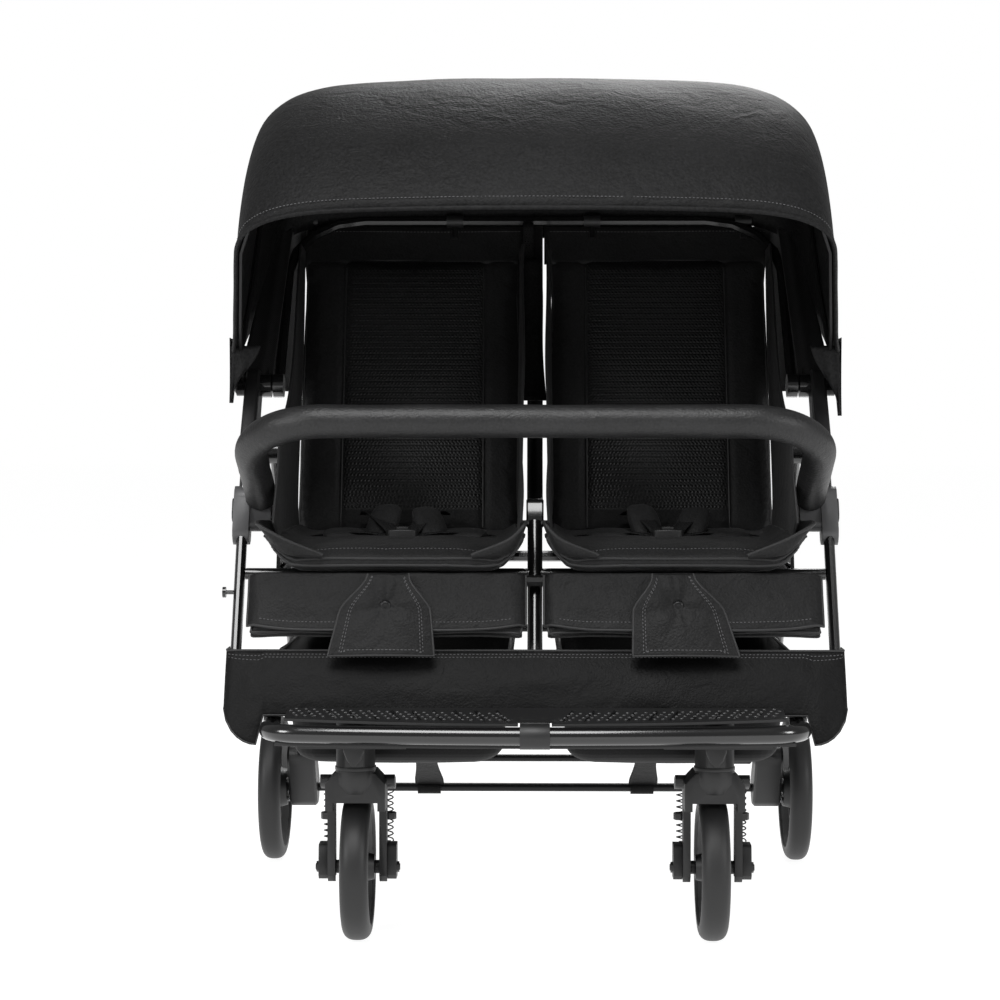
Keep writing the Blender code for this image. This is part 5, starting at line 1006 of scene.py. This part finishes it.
well_cloth = finish(
    "basket_polyester", 0.004, 0.01, (0.6, 0.78), (0.4, 0.0006), fine=500, broad=6, shine=0.2
)
RIM_Z, WELL_DEEP = 342, 138
for tag, side in SIDES:
    bm = bmesh.new()
    bmesh.ops.create_cube(bm, size=1)
    lid = max(bm.faces, key=lambda face: face.calc_center_median().z)
    bmesh.ops.delete(bm, geom=[lid], context="FACES_ONLY")
    folds = [edge for edge in bm.edges if not edge.is_boundary]
    bmesh.ops.bevel(bm, geom=folds, offset=0.13, segments=6, profile=0.5, affect="EDGES", material=-1)
    bmesh.ops.subdivide_edges(bm, edges=bm.edges[:], cuts=3, use_grid_fill=True)
    for vert in bm.verts:
        u, v, w = vert.co
        deep = 0.5 - w
        x = side * (165 + 277 * u * (1 - 0.1 * deep))
        y = 178 + 374 * v + deep * (30 if v < 0 else -16)
        z = RIM_Z - WELL_DEEP * deep
        z -= 128 * (0.25 - u * u) * (0.25 - v * v) * deep
        push = noise.noise(Vector((x, y, z)) * 0.011) * 5
        vert.co = at(x + push * (1 if abs(u) > 0.4 else 0), y + push * (1 if abs(v) > 0.4 else 0), z)
    bmesh.ops.recalc_face_normals(bm, faces=bm.faces)
    well = walled(new_piece("basket_well_" + tag, bm, well_cloth, "frame", 60), 1.2)
    rim = [at(side * x, y, RIM_Z) for x, y in ((30, -4), (300, -4), (300, 362), (30, 362), (30, -4))]
    tubing("basket_rim_" + tag, rim, 2.2, piping_cloth, "frame")
rear_rod = [at(x, 371, 338) for x in (-304, -150, 0, 150, 304)]
tubing("basket_rear_rod", rear_rod, 5, blackened, "frame", sides=6)

for name, high_x, low_x in (("l", -148, -147), ("r", 150, 151)):
    def support(across, down):
        y = 300 + (REAR_AXLE_Y - 9 - 300) * down**0.9
        half = 20 - 6 * sin(pi * min(down * 1.1, 1))
        x = high_x + (low_x - high_x) * down + half * (2 * across - 1)
        return at(x, y, 204 + (106 - 204) * down)

    strap = hanging("axle_strap_" + name, 8, 18, support, basket_cloth, "frame", 2.0)
    cuff = [at(high_x + 16 * s, REAR_AXLE_Y, REAR_AXLE_Z) for s in (-1, 0, 1)]
    tubing("axle_cuff_" + name, cuff, 9.5, basket_cloth, "rear_legs", sides=8)


# Footrest: a bowed, gloss tube, a thin plate on it with raised grip pips in slanted rows, and
# the moulded tray under it, screwed to the beam.
def bow_line(x):
    """How far back the footrest tube lies at x."""
    return -132 + 26 * (x / 308) ** 2


arm = [(308, -24.5, 279.6), (308, -25, 266), (308, -34, 258.6), (308, -50, 258), (308, -66, 258)]
bend = [(306.5, -82, 258), (301, -94, 258), (291, -104.5, 258), (276, -110.8, 258), (255, -114.2, 258)]
bowed = [(x, bow_line(x), 258) for x in (225, 190, 155, 120, 85, 50, 20)]
half_tube = arm + bend + bowed
foot_route = smooth(half_tube + [(-x, y, z) for x, y, z in half_tube[::-1]], 5)
foot_tube = tubing("footrest_bow", [at(*p) for p in foot_route], 10.5, enamel, "frame", sides=12)
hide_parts("footrest_tube")
dress("footrest_plate", nylon)
pip = finish("grip_pips", 0.03, 0.06, (0.2, 0.35), (0.1, 0.0002), fine=900, shine=0.7)
pips = bmesh.new()
for side, group, row, dot in product((-1, 1), range(12), range(4), range(2)):
    x = 30 + group * 21.2 + row * 4.2 + dot * 9.6
    y = bow_line(x) + 17 + row * 9.5
    if x > 282 or y > -62:
        continue
    z = 268.8 + 3.2 + (y + 130) * (10 / 70)
    shape = Matrix.Translation(at(side * x, y, z)) @ Matrix.Diagonal((0.0023, 0.0021, 0.0013, 1))
    bmesh.ops.create_icosphere(pips, subdivisions=2, radius=1, matrix=shape)
new_piece("footrest_pips", pips, pip, "frame", 0)
screws = bmesh.new()
for x, side in product((64, 213, 228), (-1, 1)):
    spot = Matrix.Translation(at(side * x, -70, 242.6))
    bmesh.ops.create_cone(
        screws, cap_ends=True, segments=14, radius1=0.0036, radius2=0.0028, depth=0.0016, matrix=spot
    )
new_piece("tray_screws", screws, zinc, "frame")


# Middle of the back: a strap and a cloth sleeve hang from the rear bow between the seats,
# and four clips hold the backrests to the bow.
def sleeve_form(across, down):
    z = 826 - 186 * down
    y = back_line(z) - 24 - 5 * sin(pi * across) - 6 * down
    half = 15 + 3 * sin(5 * down) * (1 - down)
    fold = 2.2 * sin(3 * pi * across + 4 * down) * down
    return at(-8 + 6 * down + half * (2 * across - 1) + fold, y + fold, z)


def strap_down(across, down):
    return at(-9 + 7 * (2 * across - 1), 383 - 14 * down, 876 - 56 * down)


def middle_cloth(across, down):
    z = 874 - 390 * down
    return at(-10 + 20 * across, back_line(z) + 4 + 2 * sin(6 * across + 3 * down), z)


def rear_hem(across, down):
    return at(-290 + 580 * across, 408.5 - 2 * down, 892 - 34 * down)


for name, columns, rows, form, cloth, thick, flat, area in (
    ("middle_cloth", 6, 30, middle_cloth, lining, 1.2, (0.021, 0.41), 0.0083),
    ("rear_hem_strip", 40, 4, rear_hem, canopy_cloth, 1.2, (0.58, 0.035), 0.0198),
    ("centre_sleeve", 14, 30, sleeve_form, canopy_cloth, 1.6, (0.036, 0.2), 0.0062),
):
    hung = hanging(name, columns, rows, form, cloth, "frame", thick)
hanging("centre_strap", 3, 8, strap_down, webbing, "frame", 1.6)
for number, x in enumerate((-301, -107, 76, 277)):
    clip_line = [at(x + step, 400, 880) for step in (-11, 0, 11)]
    tubing("bow_clip_%d" % number, clip_line, 9.6, nylon, "frame", sides=8)
    foot = [at(x, 398, 872), at(x, 392, 862), at(x, 389, 856)]
    tubing("bow_clip_foot_%d" % number, foot, 4.2, nylon, "frame", sides=5)
